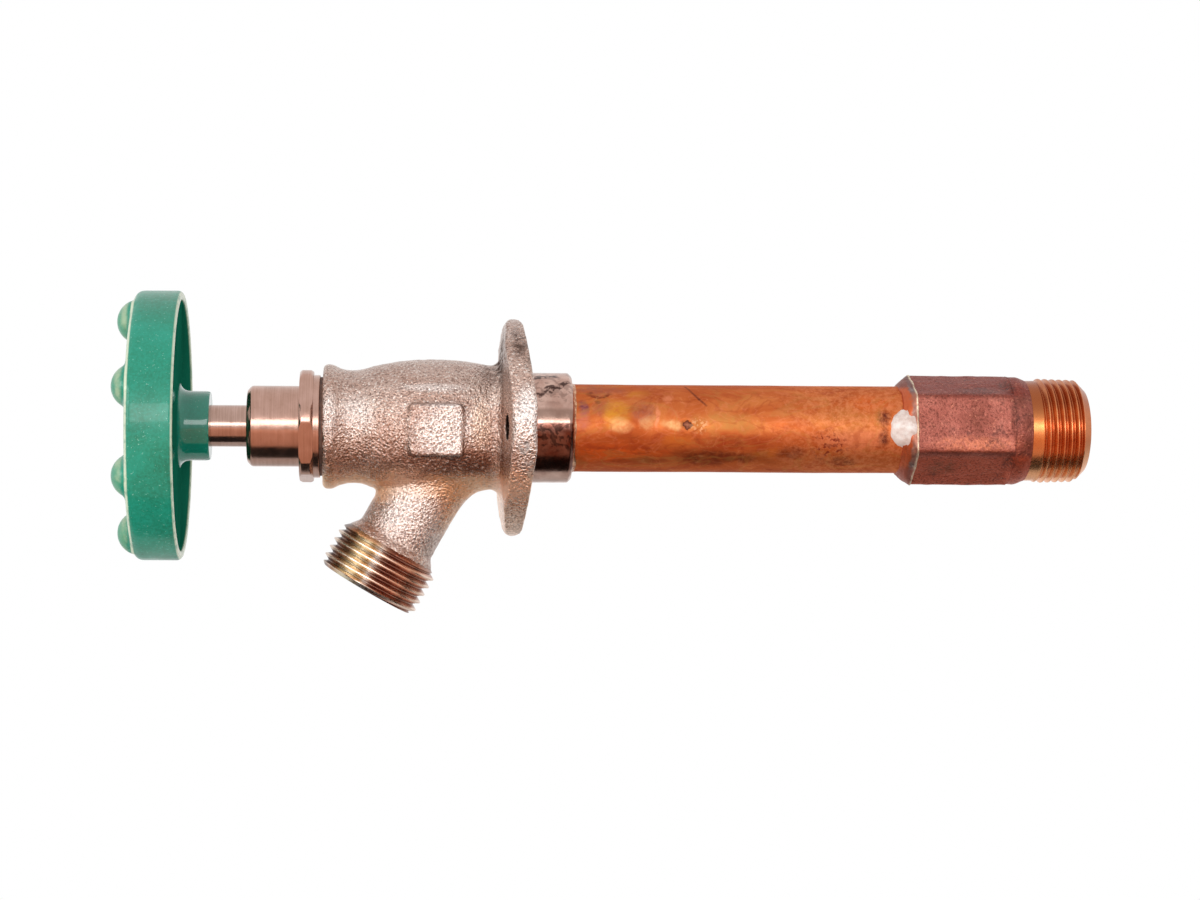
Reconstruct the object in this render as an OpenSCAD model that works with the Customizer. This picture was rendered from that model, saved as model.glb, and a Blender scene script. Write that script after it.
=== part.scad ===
// Frost free sillcock: an outdoor wall tap whose valve seat sits at the far end of a long tube.
// X runs along the tube towards the water supply, Z is up, and the spout hangs below the barrel.
// The origin is on the tube's axis, in the plane where the flange meets the wall.

/* [Handwheel] */
// Outside diameter of the handwheel
wheel_d = 68; // [60:0.5:90]
// Depth of the rim, from its front face to its back edge
wheel_depth = 11.75; // [9.5:0.25:14]
// Thickness of the rim's skirt
rim_wall = 2.6; // [1.8:0.1:3.4]
// Thickness of the rim's front face
rim_face_t = 2.8; // [2.5:0.1:3.2]
// Radial width of the rim's front face
rim_face_w = 10.8; // [10:0.2:12]
// Radius on the rim's front outer edge
rim_edge_r = 2.2; // [0.6:0.1:2.4]
// Chamfer on the rim's back edge
rim_back_chamfer = 0.6; // [0.2:0.1:0.8]
// Number of finger bumps on the rim's front face
bump_count = 8; // [4:1:10]
// Diameter of a finger bump where it leaves the rim
bump_d = 10.4; // [7:0.2:10.6]
// Height of a finger bump above the rim's front face
bump_h = 3.6; // [2:0.1:4.5]
// Gap between a finger bump and the rim's outer edge
bump_edge_gap = 0.4; // [0.2:0.1:0.8]
// Turn of the finger bumps from midway between the spokes
bump_shift = 3; // [-10:1:10]
// Number of spokes
spoke_count = 4; // [3:1:6]
// Width of a spoke at the hub
spoke_root_w = 11; // [8:0.25:13]
// Width of a spoke at the rim
spoke_tip_w = 9; // [6:0.25:11]
// Thickness of a spoke
spoke_t = 4; // [3:0.1:5]
// Distance of the spokes' back face from the rim's back edge
spoke_setback = 0.8; // [0.4:0.1:1.5]
// Diameter of the hub
hub_d = 17.6; // [15:0.2:20]
// Length of hub that stands out behind the rim
hub_proud = 7; // [5:0.25:12]
// Depth of the hub's front face below the rim's front face
hub_recess = 2.4; // [1:0.1:3.5]
// Radius of the fillet between hub and spokes
hub_fillet = 2.4; // [1:0.1:3]

/* [Stem] */
// Diameter of the smooth stem where it shows in front of the nut
stem_d = 10.5; // [9.6:0.1:11.5]
// Length of stem that shows between hub and nut when the valve is shut
stem_gap = 9.4; // [3:0.1:16]
// Side of the square tang that drives the handwheel
tang_w = 7.2; // [6:0.1:7.2]
// Length of the square tang
tang_len = 12; // [9:0.25:13]
// Diameter of the stem's drive thread
drive_thread_d = 15.8; // [14.6:0.1:16]
// Length of the stem's drive thread
drive_thread_len = 12.4; // [11:0.2:14]
// Length of drive thread in front of its web when the valve is shut
drive_stick_out = 1; // [0.4:0.1:1.4]
// Advance of the drive thread in one turn
drive_lead = 3.175; // [2:0.005:3.2]
// Turns of the handwheel from shut to fully open
open_turns = 2; // [1:0.25:2]
// Diameter of the boss behind the drive thread that holds the rod
rod_boss_d = 12; // [11:0.1:13]
// Length of the boss behind the drive thread
rod_boss_len = 5; // [3:0.25:7]
// Diameter of the long operating rod
rod_d = 8; // [6:0.1:8.4]
// Depth of the rod's socket in the stem, and in the plunger
rod_socket = 10; // [7:0.5:12]

/* [Handle screw] */
// Thread diameter of the handle screw
handle_screw_d = 4.8; // [4:0.1:5]
// Length of the handle screw below its head
handle_screw_len = 13; // [11:0.25:14]
// Diameter of the handle screw's head
handle_head_d = 9.2; // [8:0.1:10]
// Height of the handle screw's head
handle_head_h = 2.9; // [2:0.1:3.2]
// Width of the slot in the handle screw's head
handle_slot_w = 1.3; // [1:0.1:1.6]
// Outside diameter of the washer under the handle screw
handle_washer_d = 11; // [10.2:0.1:13]
// Thickness of the washer under the handle screw
handle_washer_t = 0.9; // [0.5:0.1:1.4]

/* [Packing nut] */
// Diameter of the nut's smooth front barrel
nut_d = 20.4; // [19.8:0.1:22]
// Length of the nut's smooth front barrel
nut_len = 13.2; // [12:0.2:18]
// Chamfer on the nut's front edge
nut_chamfer = 1.1; // [0.4:0.1:1.4]
// Width across flats of the nut's hexagon
nut_af = 26.8; // [24:0.1:28]
// Thickness of the nut's hexagon
nut_hex_t = 3.5; // [3:0.1:6]
// How far the hexagon is turned from having a corner on top
nut_hex_turn = 18; // [-30:1:30]
// Amount turned off the corners of the nut's hexagon
nut_blunt = 1.05; // [0.2:0.05:1.4]
// Chamfer on the edges of the nut's hexagon
nut_hex_chamfer = 0.6; // [0.3:0.1:1]
// Diameter of the round shoulder behind the hexagon
nut_shoulder_d = 26; // [25:0.1:27]
// Thickness of the round shoulder behind the hexagon
nut_shoulder_t = 1.6; // [1:0.1:2]
// Diameter of the nut's thread in the body
nut_thread_d = 22; // [21.8:0.1:22.4]
// Length of the nut's thread in the body
nut_thread_len = 6.2; // [5:0.1:7]
// Thickness of the nut's front wall
nut_front_wall = 2.6; // [2:0.1:3.4]
// Diameter of the packing chamber in the nut
packing_d = 16.5; // [16.2:0.1:16.8]
// Length of the follower ring in front of the packing
follower_len = 1.6; // [1.2:0.1:2.2]
// Length of the stem packing
packing_len = 4.6; // [3.5:0.1:5]
// Outside diameter of the packing retainer's rear skirt
retainer_skirt_d = 18.6; // [18.4:0.1:19]
// Thickness of the packing retainer round its hollow's end
retainer_wall = 1.2; // [0.8:0.1:1.8]
// Thickness of the gasket under the nut
gasket_t = 0.7; // [0.6:0.1:1.8]
// Outside diameter of the gasket under the nut
gasket_d = 25; // [24:0.1:26]

/* [Body casting] */
// Length of the casting from its front face to the wall
body_len = 52.6; // [50:0.2:64]
// Diameter of the rim round the casting's mouth
mouth_d = 31.4; // [30.8:0.1:33]
// Chamfer on the rim round the casting's mouth
mouth_chamfer = 0.7; // [0.2:0.1:0.8]
// Diameter of the waist behind the mouth
waist_d = 28.4; // [27.6:0.1:29]
// Radius of the hollow round the waist
waist_r = 10; // [8:0.25:12]
// Largest diameter of the rounded valve chamber
globe_d = 34.2; // [33:0.1:36]
// Distance of the chamber's largest diameter from the wall
globe_back = 26; // [24:0.25:28]
// Radius of the chamber's curve towards the mouth
globe_front_r = 55; // [48:1:64]
// Radius of the chamber's curve towards the wall
globe_rear_r = 85; // [70:1:110]
// Wall thickness of the valve chamber
chamber_wall = 3.4; // [2.6:0.1:4]
// Depth of the casting's mouth, where the nut screws in
mouth_depth = 6.6; // [6.3:0.1:7.4]
// Thickness of the web that carries the drive thread
web_t = 10; // [8:0.2:11]
// Width of the square pad on the side of the chamber
pad_w = 13.4; // [8:0.2:15]
// Height of the square pad on the side of the chamber
pad_h = 12.8; // [8:0.2:15]
// How far the pad's middle lies behind the chamber's largest diameter
pad_shift = 1.7; // [-4:0.1:4]
// How far the pad's middle lies below the barrel's axis
pad_drop = 0.7; // [0:0.1:2]
// How far the pad stands out of the chamber's side
pad_proud = 0.35; // [0.1:0.05:1]
// Corner radius of the pad
pad_corner_r = 1.2; // [0.5:0.1:2]
// Diameter of the collar that takes the tube
collar_d = 27.8; // [26:0.1:30]
// Length of the collar behind the wall face
collar_len = 10; // [8:0.2:20]
// Chamfer on the collar's end
collar_chamfer = 0.9; // [0.2:0.1:1]
// Depth of the tube's socket in the collar
collar_socket = 12; // [10:0.2:14]

/* [Flange] */
// Width of the flange across its ears
flange_w = 65; // [60:0.5:72]
// Height of the flange
flange_h = 54.8; // [50:0.2:60]
// Thickness of the flange beside the barrel
flange_t = 7.8; // [7:0.1:9]
// Thickness of an ear at its end
ear_t = 6.2; // [5:0.1:6.8]
// Radius of an ear's outline
ear_r = 11; // [9:0.25:14]
// Chamfer along an ear's end
ear_chamfer = 1.2; // [0.4:0.1:1.6]
// Thickness of the flange's upper and lower tips
tip_t = 4.4; // [3.4:0.1:5]
// Distance of the tips from the wall
tip_setback = 2.6; // [1:0.1:2.6]
// Height of the flat band across the flange's back that bears on the wall
wall_band = 12; // [8:0.5:20]
// Radius of the fillet between barrel and flange
flange_fillet = 2.8; // [1.5:0.1:4]
// Distance between the flange's screw holes
screw_spacing = 47.6; // [46:0.2:50]
// Diameter of the flange's screw holes
screw_hole_d = 6; // [4.5:0.1:6.5]

/* [Spout] */
// Angle of the spout from straight down, towards the handwheel
spout_angle = 30; // [22:1:34]
// Distance of the spout's root from the wall, along the barrel's axis
spout_back = 17.8; // [17:0.1:20]
// Distance from the barrel's axis to the spout's end
spout_reach = 47.2; // [43:0.1:56]
// Diameter of the spout's neck
neck_d = 20.2; // [19:0.1:22]
// Radius of the curve where the neck spreads into the chamber
neck_root_r = 16; // [12:0.5:20]
// Distance from the barrel's axis to where the neck spreads
neck_root_reach = 19; // [17:0.25:21]
// Diameter of the neck's spread inside the chamber's side
neck_spread_d = 26.4; // [23:0.1:27]
// Diameter of the plain collar above the hose thread
spout_collar_d = 23; // [22.5:0.1:25]
// Length of the plain collar above the hose thread
spout_collar_len = 0.6; // [0.4:0.1:4]
// Length of the cone from neck to plain collar
spout_cone_len = 1.6; // [1:0.1:4]
// Outside diameter of the hose thread
hose_thread_d = 26.99; // [26.4:0.01:34]
// Length of the hose thread
hose_thread_len = 12.2; // [9:0.1:14]
// Chamfer on the end of the hose thread
hose_chamfer = 1.8; // [0.3:0.1:2.2]
// Diameter of the water way in the spout
spout_bore_d = 14.6; // [12:0.1:15.6]

/* [Tube] */
// Outside diameter of the copper tube
tube_od = 22.225; // [21.4:0.005:22.6]
// Wall thickness of the copper tube
tube_wall = 1.14; // [0.8:0.02:1.6]
// Length of tube that shows between collar and inlet fitting
tube_show = 83.6; // [50:0.2:280]

/* [Inlet fitting] */
// Width across flats of the inlet fitting
inlet_af = 24.8; // [24.2:0.1:27]
// How far the inlet fitting's hexagon is turned from having a corner on top
inlet_hex_turn = -8; // [-30:1:30]
// Amount rounded off the corners of the inlet fitting's hexagon
inlet_blunt = 0.25; // [0.2:0.05:0.6]
// Length of the inlet fitting's hexagon, with its end cone
inlet_hex_len = 26.8; // [25:0.2:36]
// Length of the cone at the tube end of the fitting
inlet_cone_len = 2.4; // [2:0.1:5]
// Length of the round shoulder behind the hexagon
inlet_shoulder_len = 4.8; // [2:0.1:6]
// Diameter of the round shoulder behind the hexagon
inlet_shoulder_d = 27.4; // [26.8:0.1:29]
// Amount that the round shoulder falls at its edges
inlet_shoulder_chamfer = 0.9; // [0.3:0.1:0.95]
// Share of the round shoulder's length that falls towards the pipe thread
inlet_shoulder_fall = 0.46; // [0.2:0.02:0.5]
// Depth of the tube's socket in the fitting
inlet_socket = 12; // [10:0.2:14]
// Outside diameter of the pipe thread
pipe_thread_d = 26.6; // [25.8:0.1:26.7]
// Length of the pipe thread
pipe_thread_len = 12.6; // [12:0.2:22]
// Chamfer on the end of the pipe thread
pipe_chamfer = 2.7; // [0.8:0.1:2.8]
// Diameter of the relief between shoulder and pipe thread
pipe_relief_d = 25.4; // [22:0.1:25.8]
// Width of the relief between shoulder and pipe thread
pipe_relief_w = 2.4; // [0.8:0.1:3]
// Diameter of the water way between the seat and the solder socket
inlet_bore_d = 10.5; // [10.2:0.1:13]
// Diameter of the solder socket for the supply pipe
supply_d = 15.98; // [14:0.01:16.6]
// Depth of the solder socket for the supply pipe
supply_depth = 14; // [10:0.2:16]

/* [Seat and washer] */
// Distance from the tube's end to the seat's face
seat_setback = 2.4; // [1.5:0.1:4]
// Diameter of the hole through the seat
seat_bore_d = 9.5; // [8:0.1:10]
// Diameter of the seat's raised lip
seat_lip_d = 12; // [11.6:0.1:12.4]
// Height of the seat's raised lip
seat_lip_h = 1.5; // [1:0.1:2.5]
// Diameter of the seat's flange
seat_flange_d = 17.6; // [17:0.1:18.4]
// Thickness of the seat's flange
seat_flange_t = 1.6; // [1.2:0.1:2.4]
// Diameter of the seat's shank
seat_shank_d = 15.4; // [13:0.1:16]
// Length of the seat's shank
seat_shank_len = 4.6; // [3:0.1:6]
// Outside diameter of the seat washer
washer_d = 12.6; // [12.4:0.1:12.7]
// Thickness of the seat washer
washer_t = 4; // [3:0.1:5]
// How far the seat washer stands out of its holder
washer_proud = 1.2; // [0.8:0.1:2]
// Wall thickness of the washer holder's cup
cup_wall = 0.75; // [0.5:0.05:0.9]
// Thickness of the washer holder's floor
cup_floor = 2.6; // [2:0.1:4]
// Diameter of the washer holder's swivel shank
swivel_d = 6; // [5:0.1:6.6]
// Length of the washer holder's swivel shank
swivel_len = 8; // [6:0.25:10]
// Thread diameter of the washer screw
washer_screw_d = 3.9; // [3:0.1:4]
// Length of the washer screw below its head
washer_screw_len = 9; // [7:0.25:9]
// Diameter of the washer screw's head
washer_head_d = 6.8; // [6:0.1:7.4]
// Height of the washer screw's head
washer_head_h = 2.1; // [1.5:0.1:2.4]
// Diameter of the plunger behind the washer holder
plunger_d = 13.6; // [13:0.1:14]
// Wall thickness of the plunger's nose round the rod
plunger_nose = 1.6; // [1:0.1:2]
// Thickness of the plunger between the rod and the swivel shank
plunger_floor = 2; // [1.5:0.1:4]
// Thickness of the swivel's retaining clip
clip_t = 0.9; // [0.7:0.1:1.2]
// Radial width of the swivel's retaining clip
clip_w = 1.4; // [1.2:0.1:1.6]
// Width of the split in the swivel's retaining clip
clip_split = 2; // [1:0.1:3]

/* [Braze] */
// Radial height of the braze fillet at the collar
collar_braze_h = 1.2; // [0.6:0.1:2]
// Length of the braze fillet at the collar
collar_braze_len = 1; // [0.5:0.1:2]
// Radial height of the braze fillet at the inlet fitting
inlet_braze_h = 0.9; // [0.5:0.1:1]
// Length of the braze fillet at the inlet fitting
inlet_braze_len = 1.3; // [0.6:0.1:2]

/* [Clearances] */
// Radial clearance of turning and sliding fits
run_gap = 0.05; // [0.03:0.01:0.1]
// Radial clearance of joints that are brazed, pressed or screwed tight
seat_gap = 0.03; // [0.02:0.01:0.05]
// Clearance between parts that pass each other without touching
free_gap = 0.3; // [0.2:0.05:0.5]

/* [Hidden] */
$fn = 96;

// Overlap that lets joined shapes share volume
bite = 0.5;
// Depth by which a cutter runs past the face that it opens
over = 1;

// Radii of the main round parts
wheel_r = wheel_d / 2;
hub_r = hub_d / 2;
stem_r = stem_d / 2;
drive_r = drive_thread_d / 2;
rod_r = rod_d / 2;
tube_r = tube_od / 2;
tube_bore_r = tube_r - tube_wall;
collar_r = collar_d / 2;
globe_r = globe_d / 2;
neck_r = neck_d / 2;
packing_r = packing_d / 2;

// Stations along the barrel, from the wall towards the handwheel
x_mouth = -body_len;
x_web_front = x_mouth + mouth_depth;
x_web_rear = x_web_front + web_t;
x_globe = -globe_back;
x_shoulder = x_mouth - gasket_t;
x_hex = x_shoulder - nut_shoulder_t;
x_barrel = x_hex - nut_hex_t;
x_nut = x_barrel - nut_len;
x_follower = x_nut + nut_front_wall;
x_packing = x_follower + follower_len;
x_retainer = x_packing + packing_len;
x_hub = x_nut - stem_gap;
x_rim_back = x_hub - hub_proud;
x_rim = x_rim_back - wheel_depth;
x_hub_front = x_rim + hub_recess;
x_spoke_back = x_rim_back - spoke_setback;

// Stations along the tube, from the wall towards the supply
x_tube = collar_len - collar_socket;
x_inlet = collar_len + tube_show;
x_tube_end = x_inlet + inlet_socket;
x_inlet_hex_end = x_inlet + inlet_hex_len;
x_inlet_shoulder_end = x_inlet_hex_end + inlet_shoulder_len;
x_pipe = x_inlet_shoulder_end + pipe_relief_w;
x_end = x_pipe + pipe_thread_len;
x_seat = x_tube_end + seat_setback;
x_seat_flange = x_seat + seat_lip_h;
x_seat_shank = x_seat_flange + seat_flange_t;
x_seat_end = x_seat_shank + seat_shank_len;

// Stations along the stem when the valve is shut
lift = drive_lead * open_turns;
x_drive = x_web_front - drive_stick_out;
// The drive thread backs into the packing retainer's hollow as the valve opens
x_hollow = x_drive - lift - free_gap;
x_skirt = x_hollow - retainer_wall;
x_drive_end = x_drive + drive_thread_len;
x_boss_end = x_drive_end + rod_boss_len;
x_rod = x_boss_end - rod_socket;
x_washer_face = x_seat - seat_gap;
x_washer = x_washer_face - washer_t;
x_holder = x_washer - cup_floor;
x_plunger_rear = x_holder - run_gap;
x_swivel_end = x_holder - swivel_len - free_gap;
x_rod_end = x_swivel_end - plunger_floor;
x_plunger = x_rod_end - rod_socket;
x_clip = x_holder - swivel_len / 2;
clip_inner_r = swivel_d / 2 - clip_w / 2;
clip_outer_r = clip_inner_r + clip_w;

// The waist's hollow lies where its circle runs into the chamber's curve, with a slight bite
waist_bite = 0.1;
waist_centre_r = waist_d / 2 + waist_r;
globe_front_centre_r = globe_r - globe_front_r;
arc_reach = waist_r + globe_front_r - waist_bite;
waist_to_globe = sqrt(pow(arc_reach, 2) - pow(waist_centre_r - globe_front_centre_r, 2));
x_waist = x_globe - waist_to_globe;
x_waist_end = x_waist + waist_to_globe * waist_r / arc_reach;

// The chamber's rear curve where the flange's fillet begins
x_fillet = -flange_t - flange_fillet;
fillet_r = globe_r - globe_rear_r + sqrt(pow(globe_rear_r, 2) - pow(x_fillet - x_globe, 2));

// The flange's oval outline: ears joined to upper and lower arcs that run on smoothly
ear_reach = flange_w / 2 - ear_r;
flange_half = flange_h / 2;
arc_r = (pow(ear_reach, 2) + pow(flange_half, 2) - pow(ear_r, 2)) / (2 * (flange_half - ear_r));
arc_drop = arc_r - flange_half;
tangent_y = ear_reach * arc_r / (arc_r - ear_r);
band_half = wall_band / 2;
tip_r = tip_t / 2;
tip_z = flange_half - tip_r;
tip_x = -tip_setback - tip_r;
// The flange's front is flat as far as the fillet round the barrel reaches
front_flat = fillet_r + flange_fillet;

// Stations along the spout, from the barrel's axis
s_thread = spout_reach - hose_thread_len;
s_collar = s_thread - spout_collar_len;
s_cone = s_collar - spout_cone_len;

// Turns a shape that is drawn along Z so that it lies along X
module along_x() {
    rotate([0, 90, 0]) children();
}

// Puts a shape that is drawn along Z on the spout's axis, with Z running outwards
module along_spout() {
    translate([-spout_back, 0, 0]) rotate([0, 180 + spout_angle, 0]) children();
}

// Revolves an outline of [radius, x] points round the barrel's axis
module turned(outline) {
    along_x() rotate_extrude() polygon(outline);
}

// A ring round the barrel's axis
module ring(x0, x1, inner, outer) {
    turned([[inner, x0], [outer, x0], [outer, x1], [inner, x1]]);
}

// A round cut along the barrel's axis
module bore(x0, x1, r) {
    along_x() translate([0, 0, x0]) cylinder(r = r, h = x1 - x0);
}

// A hexagonal bar along the barrel's axis
module hex_bar(x0, x1, across, turn) {
    along_x() translate([0, 0, x0]) rotate(turn)
        cylinder(d = across / cos(30), h = x1 - x0, $fn = 6);
}

// The hollow corner piece that blends a round face into a flat one, as [radius, x]
module corner_fillet(r, x, size, grow) {
    difference() {
        translate([r - bite, grow > 0 ? x - bite : x - size]) square([size + bite, size + bite]);
        translate([r + size, x + grow * size]) circle(size);
    }
}

// Where a line from point p touches the circle at c, on the side given by sign
function touch(p, c, r, side) =
    let (reach = norm(p - c), turn = atan2(p.y - c.y, p.x - c.x) + side * acos(r / reach))
    c + r * [cos(turn), sin(turn)];

// Handwheel

module rim_outline() {
    inner_r = wheel_r - rim_wall;
    face_r = wheel_r - rim_face_w;
    edge_r = wheel_r - rim_edge_r;
    difference() {
        polygon([
            [face_r, 0], [wheel_r, 0],
            [wheel_r, wheel_depth - rim_back_chamfer], [wheel_r - rim_back_chamfer, wheel_depth],
            [inner_r + rim_back_chamfer, wheel_depth], [inner_r, wheel_depth - rim_back_chamfer],
            [inner_r, rim_face_t], [face_r, rim_face_t]
        ]);
        difference() {
            translate([edge_r, -over]) square([rim_edge_r + over, rim_edge_r + over]);
            translate([edge_r, rim_edge_r]) circle(rim_edge_r);
        }
    }
}

module finger_bump() {
    dome_r = (pow(bump_d / 2, 2) + pow(bump_h, 2)) / (2 * bump_h);
    bump_reach = wheel_r - bump_edge_gap - bump_d / 2;
    translate([0, 0, bump_reach]) intersection() {
        translate([dome_r - bump_h, 0, 0]) sphere(dome_r);
        translate([-bump_h - over, -bump_d, -bump_d]) cube([bump_h + over + bite, 2 * bump_d, 2 * bump_d]);
    }
}

module spoke() {
    reach = wheel_r - rim_wall / 2;
    translate([wheel_depth - spoke_setback, 0, 0]) rotate([0, -90, 0])
        linear_extrude(spoke_t)
            polygon([
                [0, -spoke_root_w / 2], [hub_r, -spoke_root_w / 2], [reach, -spoke_tip_w / 2],
                [reach, spoke_tip_w / 2], [hub_r, spoke_root_w / 2], [0, spoke_root_w / 2]
            ]);
}

module handwheel() {
    bump_turn = 360 / bump_count;
    spoke_turn = 360 / spoke_count;
    // One spoke points along -Y, and the bumps lie on both sides of it
    facing = 90;
    color("seagreen") difference() {
        union() {
            translate([x_rim, 0, 0]) {
                along_x() rotate_extrude() rim_outline();
                for (i = [0 : bump_count - 1])
                    rotate([facing + bump_shift + (i + 0.5) * bump_turn, 0, 0]) finger_bump();
                for (i = [0 : spoke_count - 1]) rotate([facing + i * spoke_turn, 0, 0]) spoke();
            }
            along_x() rotate_extrude() {
                translate([0, x_hub_front]) square([hub_r, x_hub - x_hub_front]);
                corner_fillet(hub_r, x_spoke_back, hub_fillet, 1);
            }
        }
        translate([x_hub - tang_len, -tang_w / 2 - seat_gap, -tang_w / 2 - seat_gap])
            cube([tang_len + over, tang_w + 2 * seat_gap, tang_w + 2 * seat_gap]);
        bore(x_hub_front - over, x_hub, handle_screw_d / 2 + seat_gap);
    }
}

// A slotted screw with a domed head, whose head sits on x and whose shank runs to +X
module slotted_screw(x, thread_d, length, head_d, head_h, slot_w) {
    head_r = head_d / 2;
    dome_r = (pow(head_r, 2) + pow(head_h, 2)) / (2 * head_h);
    slot_depth = head_h / 2;
    translate([x, 0, 0]) difference() {
        along_x() rotate_extrude() {
            square([thread_d / 2, length]);
            intersection() {
                translate([0, dome_r - head_h]) circle(dome_r);
                translate([0, -head_h]) square([head_r, head_h]);
            }
        }
        translate([-head_h - over, -head_d, -slot_w / 2]) cube([slot_depth + over, 2 * head_d, slot_w]);
    }
}

module handle_screw() {
    color("silver")
        slotted_screw(x_hub_front - handle_washer_t, handle_screw_d, handle_screw_len,
                      handle_head_d, handle_head_h, handle_slot_w);
}

module handle_washer() {
    color("silver")
        ring(x_hub_front - handle_washer_t, x_hub_front, handle_screw_d / 2 + seat_gap, handle_washer_d / 2);
}

// Stem

module front_stem() {
    x_screw_tip = x_hub_front - handle_washer_t + handle_screw_len;
    color("rosybrown") difference() {
        union() {
            turned([
                [0, x_hub], [stem_r, x_hub], [stem_r, x_drive],
                [drive_r, x_drive], [drive_r, x_drive_end], [rod_boss_d / 2, x_drive_end],
                [rod_boss_d / 2, x_boss_end], [0, x_boss_end]
            ]);
            translate([x_hub - tang_len + seat_gap, -tang_w / 2, -tang_w / 2])
                cube([tang_len - seat_gap + bite, tang_w, tang_w]);
        }
        bore(x_hub - tang_len - over, x_screw_tip + free_gap, handle_screw_d / 2 + seat_gap);
        bore(x_rod, x_boss_end + over, rod_r + seat_gap);
    }
}

module operating_rod() {
    color("peru") bore(x_rod, x_rod_end, rod_r);
}

module plunger() {
    rear_r = plunger_d / 2;
    nose_r = rod_r + plunger_nose;
    clip_room = clip_t / 2 + 2 * run_gap;
    color("rosybrown") difference() {
        turned([
            [0, x_plunger], [nose_r, x_plunger], [rear_r, x_plunger + rear_r - nose_r],
            [rear_r, x_plunger_rear], [0, x_plunger_rear]
        ]);
        bore(x_plunger - over, x_rod_end, rod_r + seat_gap);
        bore(x_swivel_end, x_plunger_rear + over, swivel_d / 2 + run_gap);
        bore(x_clip - clip_room, x_clip + clip_room, clip_outer_r + free_gap);
    }
}

// Packing nut and what it presses on

module packing_nut() {
    nut_r = nut_d / 2;
    corner_r = nut_af / 2 / cos(30) - nut_blunt;
    edge = nut_hex_chamfer;
    skirt_room = retainer_skirt_d / 2 + seat_gap;
    color("rosybrown") difference() {
        union() {
            turned([
                [0, x_nut], [nut_r - nut_chamfer, x_nut], [nut_r, x_nut + nut_chamfer],
                [nut_r, x_barrel + bite], [0, x_barrel + bite]
            ]);
            intersection() {
                hex_bar(x_barrel, x_hex, nut_af, nut_hex_turn);
                turned([
                    [0, x_barrel], [corner_r - edge, x_barrel], [corner_r, x_barrel + edge],
                    [corner_r, x_hex - edge], [corner_r - edge, x_hex], [0, x_hex]
                ]);
            }
            turned([
                [0, x_hex - bite], [nut_shoulder_d / 2, x_hex - bite], [nut_shoulder_d / 2, x_shoulder],
                [nut_thread_d / 2, x_shoulder], [nut_thread_d / 2, x_mouth + nut_thread_len],
                [0, x_mouth + nut_thread_len]
            ]);
        }
        bore(x_nut - over, x_shoulder, stem_r + run_gap);
        bore(x_follower, x_shoulder, packing_r);
        bore(x_skirt - free_gap, x_mouth + nut_thread_len + over, skirt_room);
    }
}

module nut_gasket() {
    color("dimgray") ring(x_shoulder, x_mouth, nut_thread_d / 2 + seat_gap, gasket_d / 2);
}

module packing_follower() {
    color("darkkhaki") ring(x_follower, x_packing, stem_r + run_gap, packing_r - seat_gap);
}

module stem_packing() {
    color("dimgray") ring(x_packing, x_retainer, stem_r + run_gap, packing_r - seat_gap);
}

module packing_retainer() {
    front_r = packing_r - seat_gap;
    skirt_r = retainer_skirt_d / 2;
    hollow_r = drive_r + free_gap;
    color("darkkhaki") turned([
        [stem_r + run_gap, x_retainer], [front_r, x_retainer], [front_r, x_skirt],
        [skirt_r, x_skirt], [skirt_r, x_web_front], [hollow_r, x_web_front],
        [hollow_r, x_hollow], [stem_r + run_gap, x_hollow]
    ]);
}

// Body casting

module barrel_outline() {
    // The mouth's rim, the hollow waist and the rounded chamber's curve towards the mouth
    difference() {
        union() {
            translate([0, x_mouth]) square([mouth_d / 2, x_waist_end - x_mouth]);
            intersection() {
                translate([globe_front_centre_r, x_globe]) circle(globe_front_r, $fn = 360);
                translate([0, x_waist_end - over]) square([globe_d, x_globe - x_waist_end + over]);
            }
        }
        translate([waist_centre_r, x_waist]) circle(waist_r);
        translate([mouth_d / 2, x_mouth]) rotate(45) square(mouth_chamfer * sqrt(2), center = true);
    }
    // The chamber's flatter curve towards the wall, and its fillet
    intersection() {
        translate([globe_r - globe_rear_r, x_globe]) circle(globe_rear_r, $fn = 360);
        translate([0, x_globe]) square([globe_d, -x_globe - flange_t / 2]);
    }
    corner_fillet(fillet_r, -flange_t, flange_fillet, -1);
}

module collar_outline() {
    polygon([
        [0, -flange_t / 2], [collar_r, -flange_t / 2], [collar_r, collar_len - collar_chamfer],
        [collar_r - collar_chamfer, collar_len], [0, collar_len]
    ]);
}

// The flange as it is seen along the wall, as [x, z]
module flange_side() {
    for (side = [-1, 1]) translate([tip_x, side * tip_z]) circle(tip_r);
    tip = [tip_x, tip_z];
    back = touch([0, band_half], tip, tip_r, 1);
    front = touch([-flange_t, front_flat], tip, tip_r, -1);
    polygon([
        [0, band_half], back, front, [-flange_t, front_flat],
        [-flange_t, -front_flat], [front.x, -front.y], [back.x, -back.y], [0, -band_half]
    ]);
}

// The flange as it is seen from above, as [x, y]
module flange_plan() {
    half = flange_w / 2;
    polygon([
        [0, half - ear_chamfer], [-ear_chamfer, half],
        [ear_chamfer - ear_t, half], [-ear_t, half - ear_chamfer],
        [-flange_t, front_flat],
        [-flange_t, -front_flat],
        [-ear_t, ear_chamfer - half], [ear_chamfer - ear_t, -half],
        [-ear_chamfer, -half], [0, ear_chamfer - half]
    ]);
}

// The flange's oval face, as [z, y]
module flange_face() {
    for (side = [-1, 1]) translate([0, side * ear_reach]) circle(ear_r);
    intersection() {
        translate([arc_drop, 0]) circle(arc_r);
        translate([-arc_drop, 0]) circle(arc_r);
        square([flange_h, 2 * tangent_y], center = true);
    }
}

module flange() {
    intersection() {
        along_x() translate([0, 0, -flange_t - over]) linear_extrude(flange_t + 2 * over) flange_face();
        rotate([90, 0, 0]) linear_extrude(flange_w, center = true) flange_side();
        linear_extrude(flange_h, center = true) flange_plan();
    }
}

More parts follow.
